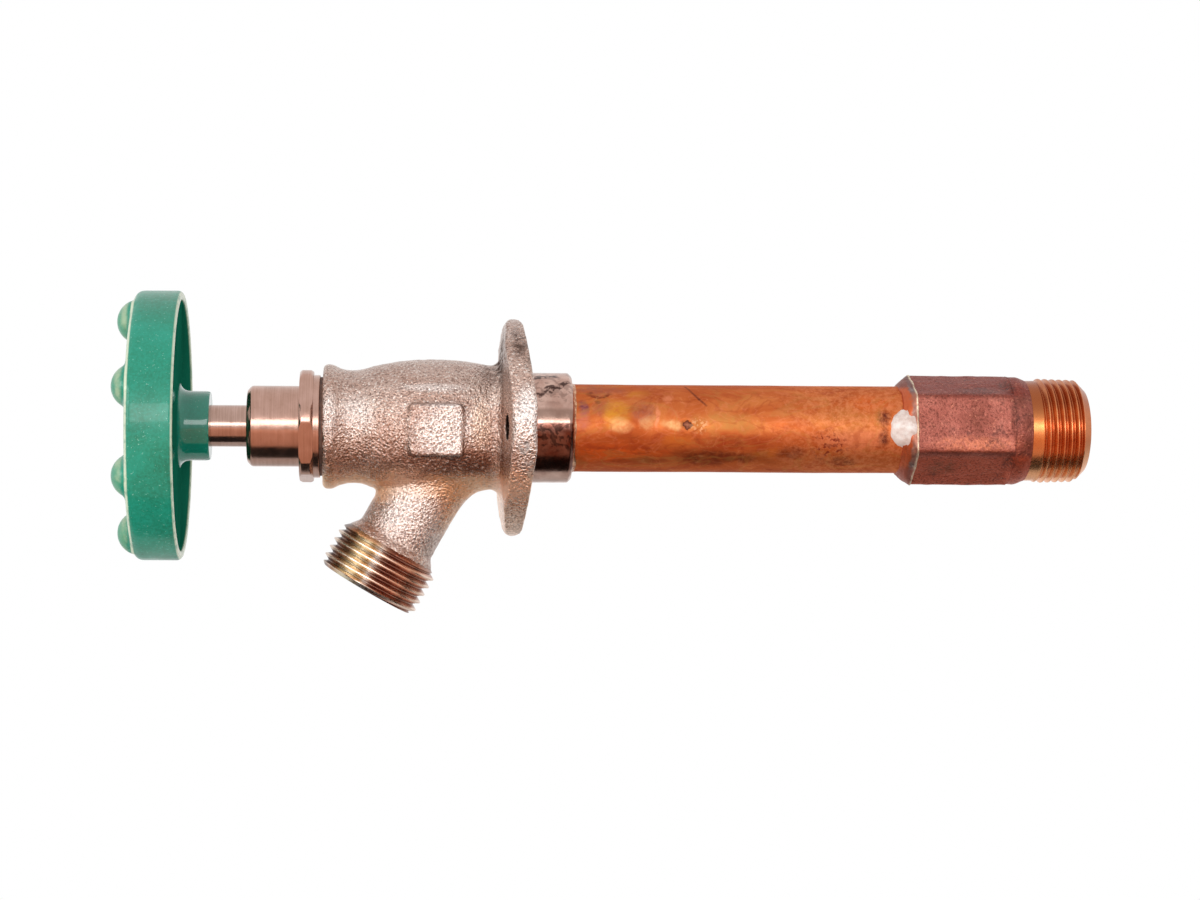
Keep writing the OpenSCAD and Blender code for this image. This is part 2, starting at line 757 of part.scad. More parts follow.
// The spout, as [radius, distance along the spout]
module spout_outline() {
    thread_r = hose_thread_d / 2;
    polygon([
        [0, 0], [neck_r, 0], [neck_r, s_cone], [spout_collar_d / 2, s_collar],
        [spout_collar_d / 2, s_thread],
        [thread_r - hose_chamfer, s_thread], [thread_r, s_thread + hose_chamfer],
        [thread_r, spout_reach - hose_chamfer], [thread_r - hose_chamfer, spout_reach], [0, spout_reach]
    ]);
    spread_r = neck_spread_d / 2;
    root_len = sqrt(pow(neck_root_r, 2) - pow(neck_r + neck_root_r - spread_r, 2));
    difference() {
        translate([0, neck_root_reach - root_len]) square([spread_r, root_len]);
        translate([neck_r + neck_root_r, neck_root_reach]) circle(neck_root_r);
    }
}

module chamber_outline() {
    front_r = drive_r + run_gap;
    x_front = x_web_rear;
    x_rear = -flange_t;
    wall_r = globe_r - chamber_wall;
    polygon([
        [0, x_front], [front_r, x_front], [wall_r, x_front + (wall_r - front_r)],
        [wall_r, x_rear - (wall_r - tube_bore_r)], [tube_bore_r, x_rear],
        [tube_bore_r, x_tube + over], [0, x_tube + over]
    ]);
}

module side_pad() {
    y_face = globe_r + pad_proud;
    core_w = pad_w - 2 * pad_corner_r;
    core_h = pad_h - 2 * pad_corner_r;
    y_root = globe_r - chamber_wall / 2;
    translate([x_globe + pad_shift, -y_root, -pad_drop]) rotate([90, 0, 0])
        linear_extrude(y_face - y_root) {
            square([pad_w, core_h], center = true);
            square([core_w, pad_h], center = true);
            for (i = [-1, 1], j = [-1, 1])
                translate([i * core_w / 2, j * core_h / 2]) circle(pad_corner_r);
        }
}

module valve_body() {
    color("tan") difference() {
        union() {
            along_x() rotate_extrude() {
                barrel_outline();
                collar_outline();
            }
            flange();
            along_spout() rotate_extrude() spout_outline();
            side_pad();
        }
        bore(x_mouth - over, x_web_front, nut_thread_d / 2 + seat_gap);
        bore(x_web_front - over, x_web_rear + over, drive_r + run_gap);
        along_x() rotate_extrude() chamber_outline();
        bore(x_tube, collar_len + over, tube_r + seat_gap);
        along_spout() cylinder(d = spout_bore_d, h = spout_reach + over);
        for (side = [-1, 1]) translate([0, side * screw_spacing / 2, 0])
            bore(-flange_t - over, over, screw_hole_d / 2);
    }
}

// Tube and inlet fitting

module casing_tube() {
    color("chocolate") ring(x_tube, x_tube_end, tube_bore_r, tube_r);
}

module collar_braze_ring() {
    inner = tube_r + seat_gap;
    color("gainsboro")
        turned([
            [inner, collar_len], [inner + collar_braze_h, collar_len], [inner, collar_len + collar_braze_len]
        ]);
}

module inlet_braze_ring() {
    inner = tube_r + seat_gap;
    color("gainsboro")
        turned([[inner, x_inlet], [inner, x_inlet - inlet_braze_len], [inner + inlet_braze_h, x_inlet]]);
}

module inlet_fitting() {
    corner_r = inlet_af / 2 / cos(30) - inlet_blunt;
    mouth_r = tube_r + inlet_braze_h + seat_gap;
    shoulder_r = inlet_shoulder_d / 2;
    thread_r = pipe_thread_d / 2;
    edge = inlet_shoulder_chamfer;
    fall_len = inlet_shoulder_len * inlet_shoulder_fall;
    color("sienna") difference() {
        union() {
            intersection() {
                hex_bar(x_inlet, x_inlet_hex_end + bite, inlet_af, inlet_hex_turn);
                turned([
                    [0, x_inlet], [mouth_r, x_inlet], [corner_r, x_inlet + inlet_cone_len],
                    [corner_r, x_inlet_hex_end + bite], [0, x_inlet_hex_end + bite]
                ]);
            }
            turned([
                [0, x_inlet_hex_end],
                [shoulder_r - edge, x_inlet_hex_end], [shoulder_r, x_inlet_hex_end + edge],
                [shoulder_r, x_inlet_shoulder_end - fall_len], [shoulder_r - edge, x_inlet_shoulder_end],
                [pipe_relief_d / 2, x_inlet_shoulder_end], [pipe_relief_d / 2, x_pipe],
                [thread_r, x_pipe], [thread_r, x_end - pipe_chamfer],
                [thread_r - pipe_chamfer, x_end], [0, x_end]
            ]);
        }
        bore(x_inlet - over, x_tube_end, tube_r + seat_gap);
        bore(x_tube_end - over, x_seat_shank, seat_flange_d / 2 + seat_gap);
        bore(x_seat_shank - over, x_seat_end, seat_shank_d / 2 + seat_gap);
        bore(x_seat_end - over, x_end - supply_depth + over, inlet_bore_d / 2);
        bore(x_end - supply_depth, x_end + over, supply_d / 2);
    }
}

module valve_seat() {
    lip_bevel = 0.4;
    color("goldenrod") turned([
        [seat_bore_d / 2, x_seat], [seat_lip_d / 2 - lip_bevel, x_seat], [seat_lip_d / 2, x_seat_flange],
        [seat_flange_d / 2, x_seat_flange], [seat_flange_d / 2, x_seat_shank],
        [seat_shank_d / 2, x_seat_shank], [seat_shank_d / 2, x_seat_end], [seat_bore_d / 2, x_seat_end]
    ]);
}

// Washer that shuts the seat, on a holder that swivels in the plunger

module washer_holder() {
    room_r = washer_d / 2 + seat_gap;
    cup_r = room_r + cup_wall;
    groove_r = clip_inner_r - run_gap;
    groove_w = clip_t + 2 * run_gap;
    x_groove = x_clip - groove_w / 2;
    swivel_r = swivel_d / 2;
    tap_r = washer_screw_d / 2 + seat_gap;
    x_tap = x_washer_face - washer_screw_len - free_gap;
    color("goldenrod") difference() {
        turned([
            [0, x_holder - swivel_len], [swivel_r, x_holder - swivel_len], [swivel_r, x_groove],
            [groove_r, x_groove], [groove_r, x_groove + groove_w], [swivel_r, x_groove + groove_w],
            [swivel_r, x_holder], [cup_r, x_holder], [cup_r, x_washer_face - washer_proud],
            [room_r, x_washer_face - washer_proud], [room_r, x_washer], [0, x_washer]
        ]);
        bore(x_tap, x_washer + over, tap_r);
    }
}

module swivel_clip() {
    color("lightgray") difference() {
        ring(x_clip - clip_t / 2, x_clip + clip_t / 2, clip_inner_r, clip_outer_r);
        translate([x_clip - clip_t / 2 - over, -clip_split / 2, 0])
            cube([clip_t + 2 * over, clip_split, clip_outer_r + over]);
    }
}

module seat_washer() {
    color("dimgray") ring(x_washer, x_washer_face, washer_screw_d / 2 + seat_gap, washer_d / 2);
}

module washer_screw() {
    slot_w = 1;
    color("silver") translate([x_washer_face, 0, 0]) mirror([1, 0, 0])
        slotted_screw(0, washer_screw_d, washer_screw_len, washer_head_d, washer_head_h, slot_w);
}

handwheel();
handle_screw();
handle_washer();
front_stem();
operating_rod();
plunger();
packing_nut();
nut_gasket();
packing_follower();
stem_packing();
packing_retainer();
valve_body();
casing_tube();
collar_braze_ring();
inlet_braze_ring();
inlet_fitting();
valve_seat();
washer_holder();
swivel_clip();
seat_washer();
washer_screw();
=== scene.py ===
"""Frost free sillcock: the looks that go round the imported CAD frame. Sizes are in millimetres."""

import math

import bmesh
import bpy
import numpy as np
from mathutils import Matrix, Vector


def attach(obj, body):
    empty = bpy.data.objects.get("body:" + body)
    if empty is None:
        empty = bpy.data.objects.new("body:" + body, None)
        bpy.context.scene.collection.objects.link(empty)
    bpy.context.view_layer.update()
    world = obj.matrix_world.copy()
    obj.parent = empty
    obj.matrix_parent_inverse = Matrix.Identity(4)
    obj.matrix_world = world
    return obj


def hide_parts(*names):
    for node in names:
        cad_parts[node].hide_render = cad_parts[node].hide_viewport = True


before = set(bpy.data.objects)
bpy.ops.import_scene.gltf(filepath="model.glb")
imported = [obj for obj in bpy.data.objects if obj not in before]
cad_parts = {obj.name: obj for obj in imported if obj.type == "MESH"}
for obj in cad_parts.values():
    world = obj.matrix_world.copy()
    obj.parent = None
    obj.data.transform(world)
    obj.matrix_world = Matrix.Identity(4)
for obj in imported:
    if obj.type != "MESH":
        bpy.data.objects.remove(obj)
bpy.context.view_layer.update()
scene = bpy.context.scene
MM = 0.001
TAU = 2 * math.pi

# Stations along the barrel and the tube, as in the solids
X_NUT, X_BARREL, X_HEX, X_SHOULDER, X_MOUTH = -71.6, -58.4, -54.9, -53.3, -52.6
X_COLLAR_END, X_INLET, X_TUBE_END = 10.0, 93.6, 105.6
X_INLET_HEX_END, X_SHOULDER_END, X_PIPE, X_END = 120.4, 125.2, 127.6, 140.2
STEM_R, TUBE_R, TUBE_BORE_R, COLLAR_R = 5.25, 11.1125, 9.9725, 13.9
DENT = np.array([38.5, -TUBE_R, 0.9])

# The spout's axis starts on the barrel's axis and runs down towards the handwheel
SPOUT_ROOT = np.array([-17.8, 0.0, 0.0])
SPOUT_ANGLE = math.radians(30)
SPOUT_AXIS = np.array([-math.sin(SPOUT_ANGLE), 0.0, -math.cos(SPOUT_ANGLE)])
SPOUT_SIDE = np.array([-math.cos(SPOUT_ANGLE), 0.0, math.sin(SPOUT_ANGLE)])
SPOUT_NEAR = np.array([0.0, -1.0, 0.0])
S_THREAD, S_END = 35.0, 47.2
SPOUT_BORE_R = 7.3
SCREW_HOLE_Y = 23.8

# The inlet fitting's hexagon, its front cone and its round shoulder
INLET_AF, INLET_TURN, INLET_EDGE = 24.8, math.radians(-8), 0.16
INLET_CONE, INLET_FACE_R, INLET_SHOULDER_R = 2.4, 12.04, 13.7
INLET_CORNER = INLET_AF / 2 / math.cos(TAU / 12) - 0.25

# Room round the tube, and the squares of the nets over the two castings
TUBE_GAP, WHEEL_NET, BODY_NET = 0.03, 0.5, 0.45


# Mesh tools


def value_noise(points, size, seed):
    """Smooth noise from -1 to 1 at each point, with lumps of the given size."""
    cells = 32
    lattice = np.random.RandomState(seed).uniform(-1, 1, (cells, cells, cells))
    p = points / size
    base = np.floor(p).astype(int)
    f = p - base
    f = f * f * (3 - 2 * f)
    total = 0
    for corner in range(8):
        step = np.array([corner & 1, corner >> 1 & 1, corner >> 2 & 1])
        i = (base + step) % cells
        weight = np.prod(np.where(step, f, 1 - f), axis=-1)
        total = total + weight * lattice[i[..., 0], i[..., 1], i[..., 2]]
    return total


def axis_distance(points):
    return np.hypot(points[:, 1], points[:, 2])


def swell(points, change):
    """Moves points out from the barrel's axis, each by its own change."""
    points[:, 1:] *= (1 + change / axis_distance(points))[:, None]


def lumps(points, *layers):
    """The sum of layers of noise, each with its height, the size of its lumps and its seed."""
    return sum(height * value_noise(points, size, seed) for height, size, seed in layers)


def smooth_step(x, low, high):
    t = np.clip((x - low) / (high - low), 0, 1)
    return t * t * (3 - 2 * t)


def soft_min(a, b, width):
    """The smaller of two radii, with the edge where they cross rounded over."""
    low = np.minimum(a, b)
    return low - width * np.log(np.exp(-(a - low) / width) + np.exp(-(b - low) / width))


def new_piece(name, verts, faces):
    """A mesh object from points in millimetres, with its normals outwards."""
    mesh = bpy.data.meshes.new(name)
    mesh.from_pydata((np.asarray(verts) * MM).tolist(), [], np.asarray(faces).tolist())
    bm = bmesh.new()
    bm.from_mesh(mesh)
    bmesh.ops.remove_doubles(bm, verts=bm.verts, dist=2e-6)
    bmesh.ops.dissolve_degenerate(bm, edges=bm.edges, dist=1e-6)
    bmesh.ops.recalc_face_normals(bm, faces=bm.faces)
    bm.to_mesh(mesh)
    bm.free()
    mesh.update()
    obj = bpy.data.objects.new(name, mesh)
    scene.collection.objects.link(obj)
    return obj


def grid_faces(rows, columns, closed):
    """Quads between rings of points; the rings are joined end to end where closed."""
    index = np.arange(rows * columns).reshape(rows, columns)
    after = np.roll(index, -1, 0) if closed else index[1:]
    first = index if closed else index[:-1]
    quads = np.stack([first, np.roll(first, -1, 1), np.roll(after, -1, 1), after], -1)
    return quads.reshape(-1, 4)


def net_faces(rows, columns):
    """Numbers of the points of an open net, and the quads between them."""
    index = np.arange(rows * columns).reshape(rows, columns)
    quads = np.stack([index[:-1, :-1], index[:-1, 1:], index[1:, 1:], index[1:, :-1]], -1)
    return index, quads.reshape(-1, 4)


def rounded(corners, steps=5, support=0.18):
    """A closed outline of (x, r, rounding) corners, with each corner rounded and its sides held straight."""
    out = []
    for i, (x, r, size) in enumerate(corners):
        here = np.array([x, r])
        before = np.array(corners[i - 1][:2]) - here
        after = np.array(corners[(i + 1) % len(corners)][:2]) - here
        len_before, len_after = np.linalg.norm(before), np.linalg.norm(after)
        size = min(size, len_before / 2.2, len_after / 2.2)
        if size < 1e-4:
            out.append(here)
            continue
        before, after = before / len_before, after / len_after
        if len_before > 4 * (size + support):
            out.append(here + before * (size + support))
        start, end = here + before * size, here + after * size
        for t in np.linspace(0, 1, steps):
            out.append((1 - t) ** 2 * start + 2 * t * (1 - t) * here + t**2 * end)
        if len_after > 4 * (size + support):
            out.append(here + after * (size + support))
    return np.array(out)


def angles(columns):
    return np.arange(columns) * TAU / columns


def on_axis(x, r, a):
    """Points at a radius and an angle round the barrel's axis."""
    return np.stack([x, -r * np.sin(a), r * np.cos(a)], -1)


def around_x(outline, columns, shape=None):
    """An outline of (x, r) turned round the barrel's axis; shape(x, r, angle) may change a radius."""
    x = np.repeat(outline[:, :1], columns, 1)
    r = np.repeat(outline[:, 1:], columns, 1)
    a = np.repeat(angles(columns)[None], len(outline), 0)
    if shape:
        r = shape(x, r, a)
    return on_axis(x, r, a)


def turned(name, corners, columns, shape=None):
    """A closed ring turned from rounded corners."""
    points = around_x(rounded(corners), columns, shape)
    return new_piece(name, points.reshape(-1, 3), grid_faces(len(points), columns, True))


def ring_of_rows(name, rows, angle):
    """A closed ring through rows of (x, r), each with a value at every angle."""
    points = np.stack([on_axis(x, r, angle) for x, r in rows])
    return new_piece(name, points.reshape(-1, 3), grid_faces(len(rows), len(angle), True))


def hex_radius(angle, across, turn):
    """Distance of a hexagon's side from its axis."""
    sixth = TAU / 6
    off = (angle - turn + sixth / 2) % sixth - sixth / 2
    return across / 2 / np.cos(np.abs(off) - sixth / 2)


def threaded(x0, x1, pitch, depth, root, grow, limit, columns, rows, inner):
    """A ring with a screw thread outside: the rows of points follow the helix, so the crests stay sharp.

    root, grow and limit give the core's radius, the share of the full depth and the largest radius at x.
    inner lists the (x, r) points from the far end's edge through the bore back to the start."""
    k = np.arange(-rows, int((x1 - x0) / pitch * rows) + rows + 1)
    off = np.abs((k % rows) / rows - 0.5) * 2
    # Where the flank leaves the root and how wide it is, as shares of half a pitch
    root_at, flank = 0.9, 0.78
    profile = np.clip((root_at - off) / flank, 0, 1)
    turn = np.arange(columns + 1) / columns
    x = np.clip(x0 + k[:, None] / rows * pitch + turn[None] * pitch, x0, x1)
    r = np.minimum(root(x) + depth * profile[:, None] * grow(x), limit(x))
    points = on_axis(x, r, TAU * turn[None] + 0 * x)
    quads = net_faces(len(k), columns + 1)[1]
    ends = [np.minimum(root(e), limit(e)) for e in (np.array(x1), np.array(x0))]
    tail = np.array([(x1, ends[0])] + inner + [(x0, ends[1])])
    tail_faces = grid_faces(len(tail), columns, False) + points.size // 3
    verts = np.concatenate([points.reshape(-1, 3), around_x(tail, columns).reshape(-1, 3)])
    return verts, quads.tolist() + tail_faces.tolist()


def to_spout(points):
    """Takes points drawn along X to the spout's axis."""
    return (
        SPOUT_ROOT
        + points[:, :1] * SPOUT_AXIS
        + points[:, 1:2] * SPOUT_NEAR
        + points[:, 2:3] * SPOUT_SIDE
    )


def remeshed(node, voxel):
    """Points, in millimetres, and faces of a CAD node as an even net of small squares."""
    obj = bpy.data.objects.new("net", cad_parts[node].data.copy())
    scene.collection.objects.link(obj)
    net = obj.modifiers.new("net", "REMESH")
    net.mode = "VOXEL"
    net.voxel_size = voxel * MM
    mesh = bpy.data.meshes.new_from_object(obj.evaluated_get(bpy.context.evaluated_depsgraph_get()))
    points = np.zeros(len(mesh.vertices) * 3)
    mesh.vertices.foreach_get("co", points)
    faces = np.zeros(len(mesh.loops), int)
    mesh.loops.foreach_get("vertex_index", faces)
    bpy.data.objects.remove(obj)
    return points.reshape(-1, 3) / MM, faces.reshape(-1, 4)


def edge_pairs(faces):
    pairs = np.concatenate([faces[:, [i, (i + 1) % 4]] for i in range(4)])
    return np.unique(np.sort(pairs, 1), axis=0)


def pull(points, pairs):
    """The step that takes each point to the mean of its neighbours."""
    size = len(points)
    total, count = np.zeros_like(points), np.zeros(size)
    for a, b in (pairs.T, pairs.T[::-1]):
        count += np.bincount(a, minlength=size)
        for axis in range(3):
            total[:, axis] += np.bincount(a, points[b, axis], size)
    return total / count[:, None] - points


def point_normals(points, faces):
    p = points[faces]
    face = np.cross(p[:, 2] - p[:, 0], p[:, 3] - p[:, 1])
    normal = np.zeros_like(points)
    for corner in range(4):
        for axis in range(3):
            normal[:, axis] += np.bincount(faces[:, corner], face[:, axis], len(points))
    return normal / np.maximum(np.linalg.norm(normal, axis=1, keepdims=True), 1e-12)


def relax(points, pairs, rounds, weight=1.0):
    """Rounds the edges over and keeps the volume."""
    for _ in range(rounds):
        for strength in (0.5, -0.51):
            points = points + strength * weight * pull(points, pairs)
    return points


def fill_corners(points, faces, pairs, rounds, weight=1.0):
    """Grows a fillet in hollow corners: a point only moves outwards."""
    for _ in range(rounds):
        normal = point_normals(points, faces)
        out = np.sum(pull(points, pairs) * normal, 1)
        points = points + (0.5 * weight * np.maximum(out, 0))[:, None] * normal
    return points


# Material tools


def srgb(red, green, blue):
    """A colour given as it looks on screen, 0 to 255, for a shader."""
    out = []
    for c in (red, green, blue):
        c = c / 255
        out.append(c / 12.92 if c <= 0.04045 else ((c + 0.055) / 1.055) ** 2.4)
    return (*out, 1.0)


class Surface:
    """A Principled material and the nodes that feed it.

    place is a point's place in millimetres, and x, y and z are its parts. A colour is (red, green, blue)
    as it looks on screen. A ramp also takes four linear values."""

    def __init__(self, name, **constants):
        self.mat = bpy.data.materials.new(name)
        self.mat.use_nodes = True
        self.tree = self.mat.node_tree
        self.bsdf = self.tree.nodes["Principled BSDF"]
        for key, value in constants.items():
            self.bsdf.inputs[key.replace("_", " ")].default_value = value
        in_metres = self.add("ShaderNodeTexCoord").outputs["Object"]
        self.place = self.vector("MULTIPLY", in_metres, (1 / MM, 1 / MM, 1 / MM))
        self.x, self.y, self.z = self.add("ShaderNodeSeparateXYZ", {0: self.place}).outputs
        self.stirred = self.place
        self.base = None

    def add(self, kind, inputs=(), **settings):
        node = self.tree.nodes.new(kind)
        for key, value in settings.items():
            setattr(node, key, value)
        for key, value in dict(inputs).items():
            if isinstance(value, bpy.types.NodeSocket):
                self.tree.links.new(value, node.inputs[key])
            elif value is not None:
                node.inputs[key].default_value = value
        return node

    def finish(self, **sockets):
        """Feeds the shader with its base colour and what else is named, and gives the material."""
        for key, value in dict(sockets, Base_Color=self.base).items():
            self.tree.links.new(value, self.bsdf.inputs[key.replace("_", " ")])
        return self.mat

    def calc(self, operation, a, b=None):
        return self.add("ShaderNodeMath", {0: a, 1: b}, operation=operation).outputs[0]

    def times(self, first, *others):
        for value in others:
            first = self.calc("MULTIPLY", first, value)
        return first

    def vector(self, operation, *values):
        """A vector made from others."""
        return self.add("ShaderNodeVectorMath", enumerate(values), operation=operation).outputs[0]

    def measure(self, operation, *values):
        """A number taken from vectors."""
        return self.add("ShaderNodeVectorMath", enumerate(values), operation=operation).outputs["Value"]

    def stretch(self, x, y, z):
        return self.vector("MULTIPLY", self.place, (x, y, z))

    def from_axis(self):
        """How far a point lies from the barrel's axis."""
        return self.measure("LENGTH", self.stretch(0, 1, 1))

    def off_line(self, at, start, ahead, length=None):
        """Distance from a line, which ends where it has a length."""
        off = self.vector("SUBTRACT", at, tuple(start))
        reach = self.measure("DOT_PRODUCT", off, tuple(ahead))
        if length:
            reach = self.calc("MINIMUM", self.calc("MAXIMUM", reach, 0.0), length)
        spot = self.add("ShaderNodeVectorMath", {0: tuple(ahead), "Scale": reach}, operation="SCALE")
        return self.measure("DISTANCE", off, spot.outputs[0])

    def noise(self, size, detail=4, rough=0.55, at=None, warp=0.0):
        inputs = {"Vector": at or self.place, "Scale": 1 / size, "Detail": detail}
        inputs |= {"Roughness": rough, "Distortion": warp}
        return self.add("ShaderNodeTexNoise", inputs).outputs["Fac"]

    def cells(self, size):
        inputs = {"Vector": self.place, "Scale": 1 / size}
        return self.add("ShaderNodeTexVoronoi", inputs, feature="SMOOTH_F1").outputs["Distance"]

    def spread(self, value, low, high, to_low=0.0, to_high=1.0):
        """Takes low..high to to_low..to_high, with soft ends."""
        inputs = enumerate((value, low, high, to_low, to_high))
        return self.add("ShaderNodeMapRange", inputs, interpolation_type="SMOOTHSTEP").outputs[0]

    def vary(self, size, detail, low, high):
        """A value that drifts between two with noise."""
        return self.spread(self.noise(size, detail), 0.3, 0.7, low, high)

    def ramp(self, value, stops):
        node = self.add("ShaderNodeValToRGB", {0: value})
        line = node.color_ramp
        while len(line.elements) < len(stops):
            line.elements.new(0.5)
        for element, (at, colour) in zip(line.elements, stops):
            element.position = at
            element.color = srgb(*colour) if len(colour) == 3 else colour
        return node.outputs[0]

    def paint(self, share, colour):
        """Lays a colour over the base colour so far."""
        if isinstance(colour, tuple):
            colour = srgb(*colour)
        inputs = {0: share, 6: self.base, 7: colour}
        self.base = self.add("ShaderNodeMix", inputs, data_type="RGBA").outputs[2]

    def tint(self, value, low, high, share, colour):
        """Paints a colour that comes in as a value goes from low to high."""
        self.paint(self.spread(value, low, high, 0.0, share), colour)

    def stir(self, size, reach):
        """Sets the coordinates that patches use: the plain ones, pushed about by noise."""
        inputs = {"Vector": self.place, "Scale": 1 / size, "Detail": 4.0}
        push = self.add("ShaderNodeTexNoise", inputs).outputs["Color"]
        centred = self.vector("SUBTRACT", push, (0.5, 0.5, 0.5))
        self.stirred = self.vector("MULTIPLY_ADD", centred, (reach, reach, reach), self.place)

    def patch(self, centre, reach, soft):
        """1 inside an egg of the given half lengths, and 0 outside, with a soft edge."""
        off = self.vector("SUBTRACT", self.stirred, centre)
        unit = self.vector("MULTIPLY", off, tuple(1 / r for r in reach))
        return self.spread(self.measure("LENGTH", unit), 1 - soft, 1 + soft, 1.0, 0.0)

    def patches(self, rows, *cover):
        """Paints rows of (centre, half lengths, colour, share), broken up by a cover."""
        for centre, reach, colour, share in rows:
            self.paint(self.times(self.patch(centre, reach, 0.5), *cover, share), colour)

    def scratch(self, start, end, width, soft, at):
        """1 within a width of the line between two points, and 0 outside."""
        ahead = np.subtract(end, start)
        length = float(np.linalg.norm(ahead))
        far = self.off_line(at, start, ahead / length, length)
        return self.spread(far, width, width + soft, 1.0, 0.0)

    def bump(self, height, depth, strength=1.0, normal=None):
        inputs = {"Height": height, "Strength": strength, "Distance": depth * MM, "Normal": normal}
        return self.add("ShaderNodeBump", inputs).outputs[0]


# Materials


def enamel():
    s = Surface("green enamel", Metallic=0.0, Coat_Roughness=0.05, Coat_IOR=1.6)
    # Clouds of green, with paler grit, dust and dark specks
    s.base = s.ramp(s.noise(14, 3), [(0.3, (12, 118, 89)), (0.55, (16, 136, 107)), (0.75, (22, 152, 126))])
    s.tint(s.noise(0.7, 3, 0.7), 0.35, 0.7, 0.45, (34, 166, 140))
    s.tint(s.noise(0.6, 2, 0.7), 0.66, 0.71, 0.7, (150, 208, 186))
    s.tint(s.noise(1.7, 3), 0.66, 0.74, 0.5, (12, 90, 68))
    # Painted shade: the hollow between hub and skirt is painted dark, and it is dull
    radius = s.from_axis()
    inside = s.times(s.spread(radius, 9.4, 10.8), s.spread(radius, 32.1, 31.6))
    shaded_hollow = s.times(inside, s.spread(s.x, -99, -97.5))
    s.paint(s.times(shaded_hollow, 0.92), (20, 100, 78))
    s.tint(radius, 11.2, 9.8, 0.6, (0, 110, 92))
    # Hands have rubbed the finger bumps paler, and a pale painted highlight lies halfway up each
    worn = s.times(s.spread(s.x, -100, -101.4), s.spread(s.noise(5, 3), 0.35, 0.65, 0.25, 0.45))
    s.paint(worn, (88, 168, 122))
    bump_highlight = s.times(s.spread(s.x, -100, -101), s.spread(s.x, -102.8, -101.4))
    s.paint(s.times(bump_highlight, s.spread(s.noise(4, 3), 0.35, 0.65, 0.1, 0.5)), (212, 216, 180))
    # Painted highlights: a pale line along the skirt's two edges, and pale sharp edges
    rim = s.spread(radius, 31.2, 32.2)
    front = s.times(s.spread(s.x, -98.8, -99.2), s.spread(s.x, -99.8, -99.5))
    edges = s.calc("MAXIMUM", front, s.spread(s.x, -88.6, -88.2))
    highlight_breakup = s.spread(s.noise(2.2, 4), 0.3, 0.55, 0.45, 0.95)
    s.paint(s.times(edges, rim, highlight_breakup), (222, 230, 202))
    # A painted highlight on the sharp edges, kept out of the hollow
    sharp = s.add("ShaderNodeNewGeometry").outputs["Pointiness"]
    sharp = s.times(s.spread(sharp, 0.54, 0.6, 0.0, 0.6), s.calc("SUBTRACT", 1.0, shaded_hollow))
    s.paint(sharp, (206, 226, 204))
    rough = s.calc("ADD", s.vary(4, 4, 0.1, 0.18), s.spread(radius, 9, 11.5, 0.0, 0.2))
    orange_peel = s.bump(s.noise(1.5, 2), 0.03, 0.5)
    coat = s.times(s.spread(radius, 9.4, 10.8, 0.4, 0.2), s.spread(shaded_hollow, 0.0, 1.0, 1.0, 0.0))
    shine = s.spread(shaded_hollow, 0.0, 1.0, 0.42, 0.0)
    return s.finish(Roughness=rough, Normal=orange_peel, Specular_IOR_Level=shine, Coat_Weight=coat)


def turned_brass(name, light, mid, rings, speckle, base_rough):
    s = Surface(name, Metallic=1.0)
    lathe = s.noise(rings, 3, 0.6, s.stretch(1.0, 0.02, 0.02))
    grain = s.noise(0.45, 3, 0.7)
    tone = s.calc("ADD", s.times(lathe, 0.5), s.times(s.noise(5, 3), 0.5))
    s.base = s.ramp(tone, [(0.35, mid), (0.62, light)])
    s.tint(grain, 0.6, 0.75, speckle, (104, 66, 54))
    rough = s.vary(2.5, 4, base_rough, base_rough + 0.1)
    normal = s.bump(grain, 0.03, 0.4, s.bump(lathe, 0.02, 0.35))
    return s.finish(Roughness=rough, Normal=normal)


